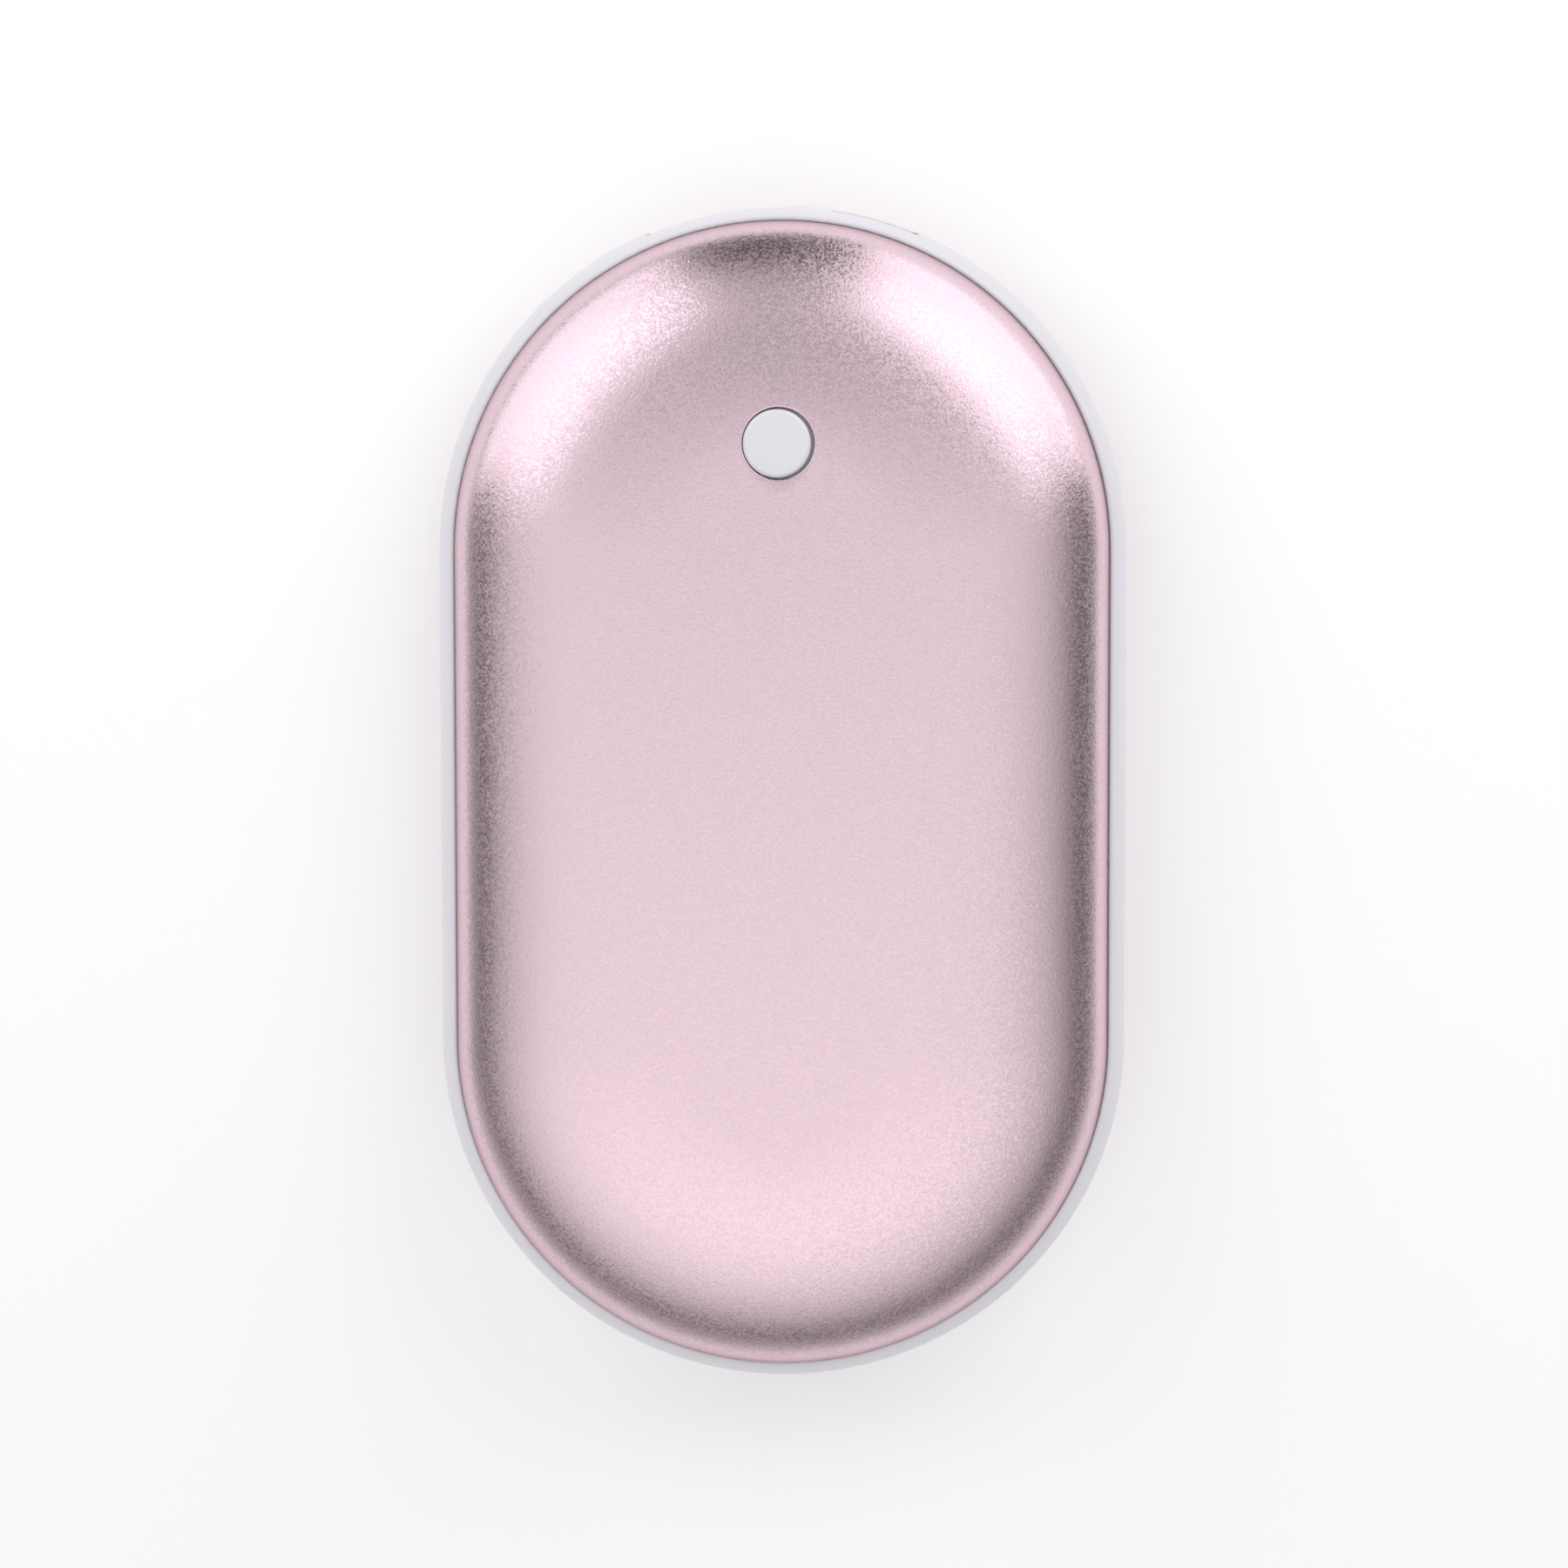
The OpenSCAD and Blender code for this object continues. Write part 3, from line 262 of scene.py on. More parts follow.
def surface(name, *grids):
    """A mesh of closed forms. Each is a grid of points in mm about the body's middle,
    whose rows are rings, with True where the last row also joins the first. With False
    the first and last rows are poles. A face spans each pair of rows and of columns."""
    points, faces, count = [], [], 0
    for grid, closed in grids:
        rows, columns = grid.shape[:2]
        row = np.arange(rows if closed else rows - 1)[:, None]
        column = np.arange(columns)[None, :]
        above, beside = (row + 1) % rows, (column + 1) % columns
        corners = [count + np.broadcast_to(c, (row.size, columns)) for c in (
            row * columns + column, row * columns + beside,
            above * columns + beside, above * columns + column)]
        faces.append(np.stack(corners, -1).reshape(-1, 4))
        points.append(grid.reshape(-1, 3) * MM + (0, 0, MIDDLE))
        count += rows * columns
    mesh = bpy.data.meshes.new(name)
    mesh.from_pydata(np.concatenate(points).tolist(), [], np.concatenate(faces).tolist())
    return smooth(mesh, True)


STRAIGHT = 44.0
FLAT = 8.3
CROWN_WIDTH = 21.0
CROWN_RISE = 7.2
SHOULDER = 4.8
SHELL_WALL = 0.8
SKIRT = 1.2
SEAM = 0.12
END_COLUMNS = 152
SIDE_COLUMNS = 88

end_turn = np.linspace(0, np.pi, END_COLUMNS, endpoint=False)
side_run = np.linspace(0.5, -0.5, SIDE_COLUMNS, endpoint=False) * STRAIGHT
core = np.concatenate([np.full(END_COLUMNS, STRAIGHT / 2), side_run,
                       np.full(END_COLUMNS, -STRAIGHT / 2), -side_run])
ahead = np.concatenate([end_turn, np.full(SIDE_COLUMNS, np.pi), end_turn + np.pi,
                        np.zeros(SIDE_COLUMNS)])
core = np.stack([np.zeros_like(core), core], 1)
ahead = np.stack([np.cos(ahead), np.sin(ahead)], 1)


def oblong(out):
    """Rings round the body, one for each distance out: a point of the middle line plus
    its outward direction times that distance."""
    return core[None] + np.atleast_1d(out)[:, None, None] * ahead[None]


def stack(rings, heights):
    """Rings in plan with their heights as a third coordinate: one height for all, one
    for each ring, or one for each point."""
    heights = np.asarray(heights, float)
    if heights.ndim == 1:
        heights = heights[:, None]
    return np.concatenate([rings, np.broadcast_to(heights, rings.shape[:2])[..., None]], -1)


# The seam between a shell and the frame is open by 0.1 mm, about a pixel of the picture.
# The outside of a shell stands back by SEAM more, so that the seam shows as a dark line.
def crown_width(inset):
    """Width of a shell's crown, cut in by inset, or by the seam where that is more."""
    return CROWN_WIDTH - max(inset, SEAM)


def crown(inset, lean_from, steps):
    """A shell's face, cut in by inset: a quarter ellipse carried round the oblong, from
    the angle lean_from off the top to the shoulder."""
    lean = np.linspace(lean_from, np.pi / 2, steps)
    out = FLAT + crown_width(inset) * np.sin(lean)
    return stack(oblong(out), SHOULDER + (CROWN_RISE - inset) * np.cos(lean))


def skirt(inset, rows=4):
    """The straight skirt below the shoulder, cut in by inset, in even steps down."""
    out = FLAT + crown_width(inset)
    return stack(oblong(np.full(rows, out)), SHOULDER - SKIRT * np.linspace(1 / rows, 1, rows))


def height(points, inset):
    """Height of a shell's face, cut in by inset, over a point in plan: flat to FLAT from
    the middle line, then the quarter ellipse."""
    off = np.clip(np.abs(points[..., 1]) - STRAIGHT / 2, 0, None)
    out = np.hypot(points[..., 0], off)
    share = np.clip((out - FLAT) / crown_width(inset), 0, 1)
    return SHOULDER + (CROWN_RISE - inset) * np.sqrt(1 - share ** 2)


# The blast leaves pits, whose facets lean each its own way: they sparkle where the shell
# reflects something dark. Real pits are some hundredths of a millimetre wide, and these
# are 0.15 mm so that they show. A swell of 0.25 mm is left of the drawn sheet's own
# grain. The dyed anodic film keeps the metal's shine, with a soft, even rose tint that
# greys a little towards the rim.
PIT_MM = 0.15
PIT_LEAN = 0.05
PIT_ROUGHNESS = (0.18, 0.38)
rose_metal, tree, shader = grained(
    "Blasted_Anodised_Aluminium", "#e7cdd8", 0.25, 0.012, PIT_ROUGHNESS, shade=0.0, Metallic=1.0,
    **{"Specular Tint": (0.5, 0.45, 0.42, 1.0)})
where = add(tree, "ShaderNodeTexCoord")
pits = add(tree, "ShaderNodeTexVoronoi",
           {"Vector": where.outputs["Object"], "Scale": 1 / (PIT_MM * MM)})
lean = add(tree, "ShaderNodeVectorMath", {0: pits.outputs["Color"], 1: (0.5, 0.5, 0.5)},
           operation="SUBTRACT")
lean = add(tree, "ShaderNodeVectorMath", {0: lean.outputs["Vector"], "Scale": PIT_LEAN},
           operation="SCALE")
facet = add(tree, "ShaderNodeVectorMath",
            {0: lean.outputs["Vector"], 1: shader.inputs["Normal"].links[0].from_socket},
            operation="ADD")
facet = add(tree, "ShaderNodeVectorMath", {0: facet.outputs["Vector"]}, operation="NORMALIZE")
tree.links.new(facet.outputs["Vector"], shader.inputs["Normal"])
chance = add(tree, "ShaderNodeSeparateXYZ", {"Vector": pits.outputs["Color"]})
matt = shader.inputs["Roughness"].links[0].from_node
tree.links.new(chance.outputs["X"], matt.inputs["Value"])

OUTSIDE_ROWS = 72
INSIDE_ROWS = 48
flat_steps = np.linspace(0, FLAT, 4)[:-1]
top_rings = stack(oblong(flat_steps), SHOULDER + CROWN_RISE)
under_rings = stack(oblong(flat_steps), SHOULDER + CROWN_RISE - SHELL_WALL)
cup = np.concatenate([top_rings, crown(0, 0, OUTSIDE_ROWS), skirt(0), skirt(SHELL_WALL)[::-1],
                      crown(SHELL_WALL, 0, INSIDE_ROWS)[::-1], under_rings[::-1]])
show("back_shell_cup", surface("back_shell_cup", (cup * (1, 1, -1), False)),
     rose_metal, "housing", "shell_metal", "back_shell")


# Clip rings and the button's guide collar: moulded in natural acetal and glued inside
# the shells. Acetal is a little greasy to the eye: off-white, even, with a soft shine.
def dress(finish, *nodes):
    """Gives CAD nodes a finish."""
    for node in nodes:
        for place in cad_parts[node].material_slots:
            place.material = finish


acetal = grained("Moulded_Acetal", "#d8d8dc", 0.8, 0.003, (0.38, 0.48), shade=0.02, IOR=1.48)[0]
dress(acetal, "front_clip_ring", "back_clip_ring", "button_collar")

# Heater films: an etched foil track between two amber polyimide films, glued inside
# each shell. The track shows through the glossy amber as dark bars that run across it,
# 1.2 mm wide and as far apart.
polyimide, tree, shader = grained(
    "Polyimide_Heater_Film", "#c98a3c", 6.0, 0.02, (0.16, 0.26), shade=0.08, IOR=1.7)
FOIL_PITCH_MM = 2.4
where = add(tree, "ShaderNodeTexCoord")
track = add(tree, "ShaderNodeTexWave",
            {"Vector": where.outputs["Object"], "Scale": np.pi / 10 / (FOIL_PITCH_MM * MM)},
            wave_type="BANDS", bands_direction="Y", wave_profile="TRI")
foil = add(tree, "ShaderNodeMapRange",
           {"Value": track.outputs["Fac"], "From Min": 0.46, "From Max": 0.54})
amber = shader.inputs["Base Color"].links[0].from_socket
etched = add(tree, "ShaderNodeMix", {0: foil.outputs["Result"], 6: amber, 7: linear("#7d5a34")},
             data_type="RGBA")
tree.links.new(etched.outputs[2], shader.inputs["Base Color"])
dress(polyimide, "front_heater", "back_heater")

# Foam pads: die-cut from grey EVA foam, glued over and under the cells, to press them
# on the heaters. It is dull, and its cut cells leave pores of about 0.35 mm.
foam, tree, shader = grained(
    "Grey_EVA_Foam", "#4a4d52", 0.5, 0.03, (0.8, 0.95), shade=0.15, **{"Specular IOR Level": 0.3})
where = add(tree, "ShaderNodeTexCoord")
PORE_MM = 0.35
PORE_DEPTH_MM = 0.08
pores = add(tree, "ShaderNodeTexVoronoi",
            {"Vector": where.outputs["Object"], "Scale": 1 / (PORE_MM * MM)})
pitted = add(tree, "ShaderNodeBump",
             {"Height": pores.outputs["Distance"], "Strength": 0.6, "Distance": PORE_DEPTH_MM * MM,
              "Normal": shader.inputs["Normal"].links[0].from_socket})
tree.links.new(pitted.outputs["Normal"], shader.inputs["Normal"])

PAD_HALF_WIDTH = 13.5
PAD_LOW = 9.25
PAD_INSET = 1.2
PAD_COLUMNS = 160
PAD_HALF_ROWS = 28
CORNER_POWER = 12
EDGE_POWERS = (9, 1 / 3)


def pad(back_y, front_y, flip=1):
    """A die-cut pad: rays run from its middle to a superellipse that is almost a
    rectangle, out over its top and back under it. The half thickness over a ray is the
    pad's own times one minus its reach to a high power, to a low power, so that the cut
    edge bulges a little. The top follows the inside of the shell."""
    turn = np.linspace(0, 2 * np.pi, PAD_COLUMNS, endpoint=False)
    half = np.array([PAD_HALF_WIDTH, (front_y - back_y) / 2])
    round_ray = np.stack([np.cos(turn), np.sin(turn)], 1)
    blunt = (np.abs(round_ray) ** CORNER_POWER).sum(1)[:, None] ** (1 / CORNER_POWER)
    ray = round_ray * half / blunt
    reach = np.sin(np.linspace(0, np.pi, 2 * PAD_HALF_ROWS + 1))
    plan = np.array([0, (back_y + front_y) / 2]) + reach[:, None, None] * ray[None]
    high = height(plan, PAD_INSET)
    bulge = (1 - reach ** EDGE_POWERS[0]) ** EDGE_POWERS[1]
    half_thick = (high - PAD_LOW) / 2 * bulge[:, None]
    half_thick[PAD_HALF_ROWS + 1:] *= -1
    return stack(plan, (high + PAD_LOW) / 2 + half_thick) * (1, 1, flip)


FRONT_PAD_Y = (-35.4, 22.6)
BACK_PADS_Y = ((-35.4, -13.35), (-11.65, -0.85), (0.85, 11.65), (13.35, 22.6))
front_pad = show("front_foam_pad_cut", surface("front_foam_pad_cut", (pad(*FRONT_PAD_Y), False)),
                 foam, "housing", "pad_foam", "front_foam_pad")
for number, (back_y, front_y) in enumerate(BACK_PADS_Y, 1):
    name = f"back_foam_pad_{number}"
    back_pad = show(name, surface(name, (pad(back_y, front_y, -1), False)),
                    foam, "housing", "pad_foam", "back_foam_pads")

# Tray: moulded in ivory flame-resistant PC/ABS, screwed to the frame's lugs. The mould
# was spark eroded, which leaves a matt look with a grain of about 0.15 mm.
tray_plastic = grained("Spark_Textured_PC_ABS", "#e6e4dc", 0.15, 0.006, (0.45, 0.6),
                       shade=0.03, IOR=1.57)[0]
dress(tray_plastic, "inner_tray")

# Cells: two lithium cells of 18.3 by 65 mm. The can and its raised end are drawn steel
# with a nickel plate, whose soft shine is broken by draw lines along the can.
plated_steel = grained("Nickel_Plated_Steel", "#b9bcc2", 0.12, 0.002, (0.22, 0.36),
                       stretch=(1, 12, 1), Metallic=1.0)[0]
dress(plated_steel, "left_cell_can", "right_cell_can", "cell_nubs")

# Cell sleeves: blue PVC tube shrunk on to the cans. It is glossy, with faint ripples
# some millimetres long where it drew in.
shrink_film = grained("Shrunk_PVC_Film", "#3f6fb5", 3.0, 0.03, (0.18, 0.3), stretch=(1, 3, 1),
                      shade=0.04, IOR=1.54)[0]
dress(shrink_film, "left_cell_sleeve", "right_cell_sleeve")

# Washers: punched from white insulating card and stuck on the cells' raised ends. The
# card's fibres show as a fine, dull fleck.
card = grained("Insulating_Card", "#f4f4f0", 0.2, 0.01, (0.75, 0.9), shade=0.06,
               **{"Specular IOR Level": 0.3})[0]
dress(card, "cell_washers")

# Links: pure nickel strip, spot welded to the cells' ends. Rolling leaves fine lines
# along the strip and a warm grey shine.
nickel = grained("Rolled_Nickel_Strip", "#c9c6bd", 0.08, 0.002, (0.25, 0.4),
                 stretch=(20, 1, 1), Metallic=1.0)[0]
dress(nickel, "positive_link", "negative_link")

# Board: glass cloth and epoxy laminate, 1 mm thick, under glossy green solder mask.
# Copper tracks 0.3 mm wide raise the mask and lighten it, in blocks 3 mm across that run
# one way or the other, and the sawn edge stays tan.
mask, tree, shader = grained("Green_Solder_Mask", "#2f7d4f", 0.6, 0.002, (0.22, 0.32),
                             shade=0.05, IOR=1.55)
where = add(tree, "ShaderNodeTexCoord")
TRACK_PITCH_MM = 0.6
TRACK_RISE_MM = 0.035
BLOCK_MM = 3.0
blocks = add(tree, "ShaderNodeTexChecker",
             {"Vector": where.outputs["Object"], "Scale": 1 / (BLOCK_MM * MM)})
runs = [add(tree, "ShaderNodeTexWave",
            {"Vector": where.outputs["Object"], "Scale": np.pi / 10 / (TRACK_PITCH_MM * MM)},
            wave_type="BANDS", bands_direction=way, wave_profile="TRI") for way in "XY"]
run = add(tree, "ShaderNodeMix", {0: blocks.outputs["Fac"], 2: runs[0].outputs["Fac"],
                                  3: runs[1].outputs["Fac"]})
copper = add(tree, "ShaderNodeMapRange",
             {"Value": run.outputs[0], "From Min": 0.45, "From Max": 0.55})
green = shader.inputs["Base Color"].links[0].from_socket
over_copper = add(tree, "ShaderNodeMix",
                  {0: copper.outputs["Result"], 6: green, 7: linear("#4a9a63")}, data_type="RGBA")
facing = add(tree, "ShaderNodeNewGeometry")
facing = add(tree, "ShaderNodeSeparateXYZ", {"Vector": facing.outputs["Normal"]})
flat_face = add(tree, "ShaderNodeMath", {0: facing.outputs["Z"]}, operation="ABSOLUTE")
sawn = add(tree, "ShaderNodeMix", {0: flat_face.outputs[0], 6: linear("#b8a878"),
                                   7: over_copper.outputs[2]}, data_type="RGBA")
tree.links.new(sawn.outputs[2], shader.inputs["Base Color"])
raised = add(tree, "ShaderNodeBump",
             {"Height": copper.outputs["Result"], "Strength": 1.0, "Distance": TRACK_RISE_MM * MM,
              "Normal": shader.inputs["Normal"].links[0].from_socket})
tree.links.new(raised.outputs["Normal"], shader.inputs["Normal"])
dress(mask, "main_board")

# Sockets: each a shell folded from nickel-plated sheet round a moulded tongue, soldered
# under the board with its mouth in a window of the frame. The plate is bright, with
# faint lines along the way that plugs slide.
socket_plate = grained("Bright_Nickel_Plate", "#c4c7cc", 0.1, 0.0015, (0.14, 0.26),
                       stretch=(1, 15, 1), Metallic=1.0)[0]


def merged(node, finish, body, slot):
    """A copy of a CAD node's mesh with its loose triangles merged and its soft edges
    smooth, which stands for the node."""
    name = node + "_smooth"
    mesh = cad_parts[node].data.copy()
    mesh.name = name
    return show(name, smooth(mesh), finish, body, slot, node)


merged("usb_shell", socket_plate, "housing", "socket_steel")
merged("micro_shell", socket_plate, "housing", "socket_steel")

# Tongues and contacts: the large tongue is a chalky white polymer with flow lines along
# it, the small one a dull black nylon. The bronze contacts are gold plated, warm and
# bright, with wipe lines along them.
liquid_crystal = grained("White_Liquid_Crystal_Polymer", "#f0f0ee", 0.4, 0.002, (0.4, 0.55),
                         stretch=(1, 4, 1), shade=0.03, IOR=1.6)[0]
dress(liquid_crystal, "usb_tongue")
gold = grained("Gold_Plated_Bronze", "#d9b45a", 0.08, 0.001, (0.15, 0.25),
               stretch=(1, 10, 1), Metallic=1.0)[0]
dress(gold, "usb_contacts", "micro_contacts")
black_polymer = grained("Black_Glass_Filled_Nylon", "#26262a", 0.2, 0.004, (0.4, 0.55),
                        shade=0.1, IOR=1.53)[0]
dress(black_polymer, "micro_tongue", "switch_base")

# Switch: a tact switch on the board's top, with a pressed cover over its base and a
# black acetal plunger that the button's stem presses. The acetal has a soft, dark shine.
dress(socket_plate, "switch_cover")
black_acetal = grained("Black_Acetal", "#1d1d20", 0.3, 0.002, (0.3, 0.4), shade=0.1, IOR=1.48)[0]
dress(black_acetal, "switch_plunger")

# Lamps and light pipes: lamps cast in clear, glossy epoxy under the board's edge, and a
# short polycarbonate pipe from each to its window. The pipe is frosted, so its end looks
# milky.
lamp_epoxy = grained("Clear_Cast_Epoxy", "#e8f0ff", 0.5, 0.001, (0.08, 0.16), shade=0.02,
                     IOR=1.52, **{"Transmission Weight": 0.6})[0]
dress(lamp_epoxy, "indicator_lamps")
pipe_plastic = grained("Frosted_Polycarbonate", "#f6f8fa", 0.12, 0.004, (0.3, 0.42), shade=0.02,
                       IOR=1.585, **{"Transmission Weight": 0.5})[0]
merged("light_pipes", pipe_plastic, "housing", "pipe_resin")

# Power parts under the board: a shielded inductor of sintered ferrite, whose surface is
# dull and gritty, parts moulded in dull black epoxy with the pins' matt tin beside them,
# and capacitors of fired ceramic, a smooth light brown.
ferrite = grained("Sintered_Ferrite", "#5b5d61", 0.1, 0.01, (0.55, 0.75), shade=0.15, IOR=1.8)[0]
dress(ferrite, "power_inductor")
moulded_epoxy = grained("Moulded_Black_Epoxy", "#1f2024", 0.12, 0.004, (0.45, 0.6), shade=0.15,
                        IOR=1.55)[0]
dress(moulded_epoxy, "control_chip", "power_transistors")
tin = grained("Matt_Tin_Plate", "#c4c7cc", 0.15, 0.003, (0.35, 0.5), Metallic=1.0)[0]
dress(tin, "chip_pins")
ceramic = grained("Fired_Ceramic", "#b48a5a", 0.1, 0.002, (0.4, 0.55), shade=0.08, IOR=1.7)[0]
dress(ceramic, "ceramic_capacitors")

# Thermistor: a dipped epoxy bead against the front heater, on two varnished wires. The
# epoxy drew up as it set, so it is glossy and a little uneven.
bead = grained("Dipped_Epoxy_Bead", "#2a2a30", 0.6, 0.01, (0.12, 0.2), shade=0.08, IOR=1.52)[0]
dress(bead, "thermistor")

# Leads: stranded wire in silicone rubber, cut to length and soldered to the board. They
# are fixed at both ends and run between the cells, under the front heater and to the
# board. The rubber is matt, with a faint sheen along the lead.
CELL_LEAD_RADIUS = 0.7
HEATER_LEAD_RADIUS = 0.5
WIRE_RADIUS = 0.25
LEAD_BEND = 2.0
LEAD_Y = 27.65
BOARD_TOP = 3.85
BOARD_LOW = 2.85
LEAD_HEIGHT = 7.05
HEATER_Y = 24.23
BEND_STEPS = 9
LEAD_COLUMNS = 20
SHORTEST_STEP = 0.001


def lead(corners, radius):
    """A tube along a route whose corners are rounded. A bend's point is the corner, plus
    the way to its start times (1 - t) squared, plus the way to its end times t squared.
    Each ring is a circle about two axes: the cross product of one fixed direction with
    the heading, and that of this axis with the heading."""
    corners = np.array(corners, float)
    before = corners[:-2] - corners[1:-1]
    after = corners[2:] - corners[1:-1]
    length_before = np.linalg.norm(before, axis=1)[:, None]
    length_after = np.linalg.norm(after, axis=1)[:, None]
    before = before / length_before * np.minimum(LEAD_BEND, length_before / 2)
    after = after / length_after * np.minimum(LEAD_BEND, length_after / 2)
    t = np.linspace(0, 1, BEND_STEPS)[None, :, None]
    bends = corners[1:-1, None] + before[:, None] * (1 - t) ** 2 + after[:, None] * t ** 2
    points = np.concatenate([corners[:1], bends.reshape(-1, 3), corners[-1:]])
    steps = np.linalg.norm(np.diff(points, axis=0), axis=1)
    points = points[np.concatenate([[True], steps > SHORTEST_STEP])]
    heading = np.gradient(points, axis=0)
    heading[0], heading[-1] = points[1] - points[0], points[-1] - points[-2]
    heading /= np.linalg.norm(heading, axis=1)[:, None]
    across = np.cross([1, 1, 1], heading)
    across /= np.linalg.norm(across, axis=1)[:, None]
    up = np.cross(across, heading)
    turn = np.linspace(0, 2 * np.pi, LEAD_COLUMNS, endpoint=False)[None, :, None]
    circle = np.cos(turn) * across[:, None] + np.sin(turn) * up[:, None]
    rings = points[:, None] + radius * circle
    ends = [np.broadcast_to(p, rings[:1].shape) for p in (points[0], points[-1])]
    return np.concatenate([ends[0], rings, ends[1]]), False


def rubber(name, colour):
    """Silicone rubber of one colour."""
    return grained(name, colour, 0.3, 0.004, (0.45, 0.6), stretch=(1, 3, 1), shade=0.05,
                   IOR=1.41, **{"Sheen Weight": 0.15})[0]


show("positive_lead_tube", surface("positive_lead_tube", lead(
    [(7, 25.5, 1.6), (7, 25.5, LEAD_HEIGHT), (7, LEAD_Y, LEAD_HEIGHT), (7, LEAD_Y, BOARD_TOP)],
    CELL_LEAD_RADIUS)),
    rubber("Red_Silicone_Rubber", "#c22a2a"), "housing", "red_insulation", "positive_lead")
show("negative_lead_tube", surface("negative_lead_tube", lead(
    [(0, -41.55, 1.6), (0, -41.55, 4.45), (0, 24.6, 4.45), (-7, LEAD_Y, LEAD_HEIGHT),
     (-7, LEAD_Y, BOARD_TOP)], CELL_LEAD_RADIUS)),
    rubber("Black_Silicone_Rubber", "#2b2b2e"), "housing", "black_insulation", "negative_lead")
white_rubber = rubber("White_Silicone_Rubber", "#e8e6df")
show("front_heater_lead_pair", surface("front_heater_lead_pair", *(
    lead([(x, HEATER_Y, z), (x, LEAD_Y, z), (x, LEAD_Y, BOARD_TOP)], HEATER_LEAD_RADIUS)
    for x, z in ((11.5, 10.194), (13.7, 10.026)))),
    white_rubber, "housing", "white_insulation", "front_heater_leads")
show("back_heater_lead_pair", surface("back_heater_lead_pair", *(
    lead([(x, HEATER_Y, z), (x, LEAD_Y, z), (x, LEAD_Y, BOARD_LOW)], HEATER_LEAD_RADIUS)
    for x, z in ((11.5, -10.194), (9.3, -10.283)))),
    white_rubber, "housing", "white_insulation", "back_heater_leads")

# Thermistor's wires: copper in a clear varnish, soldered to the bead and the board. Their
# shine is pale and warm.
BEAD_Y = 24.48
BEAD_HEIGHT = 9.804
varnish = grained("Varnished_Copper_Wire", "#d8cfae", 0.2, 0.001, (0.2, 0.3), Metallic=0.5)[0]
show("thermistor_lead_pair", surface("thermistor_lead_pair", *(
    lead([(x, BEAD_Y, BEAD_HEIGHT), (x, LEAD_Y, BEAD_HEIGHT), (x, LEAD_Y, BOARD_TOP)], WIRE_RADIUS)
    for x in (-12.9, -12.1))),
    varnish, "housing", "enamel_wire", "thermistor_leads")

# Screws: cross-head screws of steel with a bright zinc plate, which looks a little blue
# and cloudy.
zinc = grained("Bright_Zinc_Plate", "#aeb1b6", 0.5, 0.002, (0.22, 0.38), shade=0.1, Metallic=1.0)[0]
dress(zinc, "tray_screws", "board_screws")

# Middle frame: a ring moulded in white ABS, with a rounded band that shows between the
# shells, windows for the sockets and lamps, and lugs inside for the tray's screws. The
# mould was fine polished: a soft shine with a faint orange peel.
abs_depth = {"Subsurface Weight": 0.2, "Subsurface Scale": 0.6 * MM,
             "Subsurface Radius": (1.0, 1.0, 1.0)}
white_abs = grained("Moulded_White_ABS", "#efedf4", 1.2, 0.004, (0.3, 0.38), shade=0.01,
                    IOR=1.53, **abs_depth)[0]
merged("middle_frame", white_abs, "housing", "frame_plastic")

# Button: a cap with a flange and a stem, moulded in one in white ABS, with a rounded
# edge and a polished top that mirrors the lights softly. Its flange lies under the front
# shell and its stem stands on the switch's plunger.
BUTTON_X = -0.122
BUTTON_Y = 31.2
CAP_RADIUS = 2.98
CAP_TOP = 12.25
CAP_EDGE = 0.4
CAP_DOME = 0.05
FLANGE_RADIUS = 4.28
FLANGE_TOP = 10.846
FLANGE_LOW = 10.046
FLANGE_EDGE = 0.1
STEM_RADIUS = 1.5
STEM_LOW = 8.3
CAP_COLUMNS = 96
CAP_STEPS = 12
FLANGE_EDGE_STEPS = 4


def fillet(radius, level, size, start, stop, steps):
    """Points of a fillet's arc of that size about (radius, level): out by its sine and up
    by its cosine, from the angle start to stop off the axis."""
    turn = np.radians(np.linspace(start, stop, steps))
    return np.stack([radius + size * np.sin(turn), level + size * np.cos(turn)], 1)


def lathe(profile, centre, columns):
    """Carries a profile of radius and height round an upright axis through centre: x and
    y are the radius times the turn's cosine and sine."""
    turn = np.linspace(0, 2 * np.pi, columns, endpoint=False)
    across = profile[:, :1]
    return np.stack([centre[0] + across * np.cos(turn), centre[1] + across * np.sin(turn),
                     np.broadcast_to(profile[:, 1:], (len(profile), columns))], -1)


top_run = np.linspace(0, CAP_RADIUS - CAP_EDGE, CAP_STEPS)[:-1]
cap_profile = np.concatenate([
    np.stack([top_run, CAP_TOP - CAP_DOME * (top_run / CAP_RADIUS) ** 2], 1),
    fillet(CAP_RADIUS - CAP_EDGE, CAP_TOP - CAP_EDGE - CAP_DOME, CAP_EDGE, 0, 90,
           CAP_STEPS),
    [[CAP_RADIUS, CAP_TOP - 2 * CAP_EDGE], [CAP_RADIUS, FLANGE_TOP]],
    fillet(FLANGE_RADIUS - FLANGE_EDGE, FLANGE_TOP - FLANGE_EDGE, FLANGE_EDGE, 0, 90,
           FLANGE_EDGE_STEPS),
    fillet(FLANGE_RADIUS - FLANGE_EDGE, FLANGE_LOW + FLANGE_EDGE, FLANGE_EDGE, 90, 180,
           FLANGE_EDGE_STEPS),
    [[STEM_RADIUS, FLANGE_LOW], [STEM_RADIUS, STEM_LOW + FLANGE_EDGE],
     [STEM_RADIUS - FLANGE_EDGE, STEM_LOW], [0, STEM_LOW]]])
cap = lathe(cap_profile, (BUTTON_X, BUTTON_Y), CAP_COLUMNS)
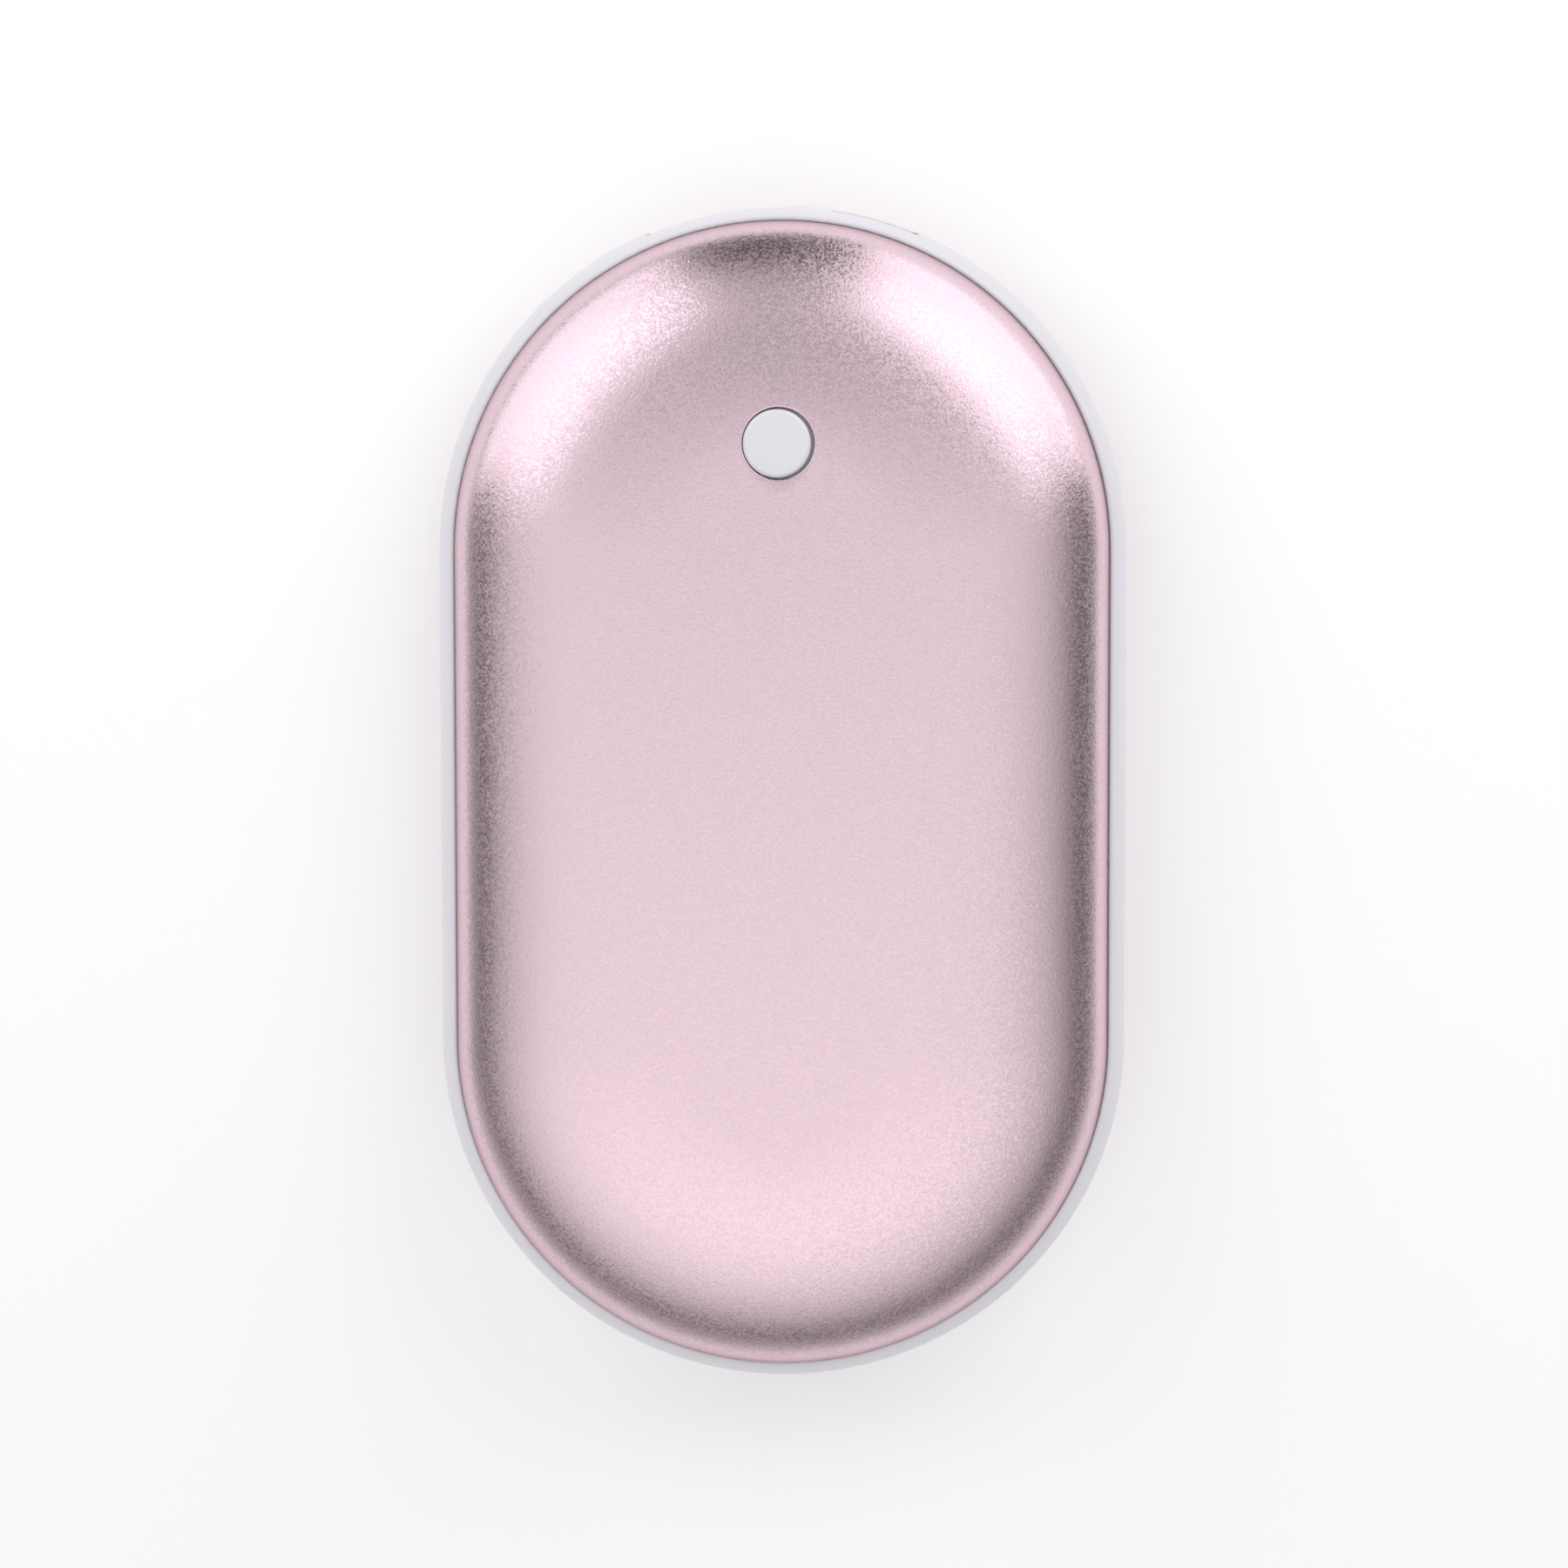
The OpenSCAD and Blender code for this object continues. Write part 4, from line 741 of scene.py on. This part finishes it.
polished_abs = grained("Polished_White_ABS", "#efeef2", 0.5, 0.001, (0.16, 0.26), shade=0.01,
                       IOR=1.53, **abs_depth)[0]
show("power_button_cap", surface("power_button_cap", (cap, False)),
     polished_abs, "button", "button_plastic", "power_button")

# Front shell: the back shell's twin, with a hole punched for the button before it is
# blasted, so that the hole's edge is softly rounded.
HOLE_RADIUS = 3.15
HOLE_EDGE = 0.12
LAP = 16.0
FAN_ROWS = 56
UNDER_FAN_ROWS = 28
PAST_LAP_ROWS = 64
UNDER_PAST_LAP_ROWS = 40
HOLE_EDGE_STEPS = 6


def to_hole(inset, grow, steps):
    """Rays in even steps from the hole's circle, grown by grow, to the ring at LAP, with
    the face's height over each point. The columns fan out from the hole's middle."""
    ring = oblong(LAP)[0]
    hole = np.array([0, BUTTON_Y])
    fan = ring - hole
    circle = hole + fan / np.linalg.norm(fan, axis=1)[:, None] * (HOLE_RADIUS + grow)
    share = np.linspace(0, 1, steps)[:, None, None]
    rays = circle[None] * (1 - share) + ring[None] * share
    return stack(rays, height(rays, inset))


# The hole's edge goes in with the sine and down with one minus the cosine of its lean.
face = to_hole(0, HOLE_EDGE, FAN_ROWS)
under = to_hole(SHELL_WALL, 0, UNDER_FAN_ROWS)
edge_lean = np.linspace(0, np.pi / 2, HOLE_EDGE_STEPS)[1:, None, None]
edge = face[0] + (to_hole(0, 0, 2)[0] - face[0]) * (1, 1, 0) * np.sin(edge_lean)
edge[..., 2] -= HOLE_EDGE * (1 - np.cos(edge_lean[..., 0]))
outer_lap = math.asin((LAP - FLAT) / crown_width(0))
inner_lap = math.asin((LAP - FLAT) / crown_width(SHELL_WALL))
front = np.concatenate([
    face[:-1], crown(0, outer_lap, PAST_LAP_ROWS), skirt(0), skirt(SHELL_WALL)[::-1],
    crown(SHELL_WALL, inner_lap, UNDER_PAST_LAP_ROWS)[::-1], under[:-1][::-1], edge[::-1]])
show("front_shell_cup", surface("front_shell_cup", (front, True)),
     rose_metal, "housing", "shell_metal", "front_shell")
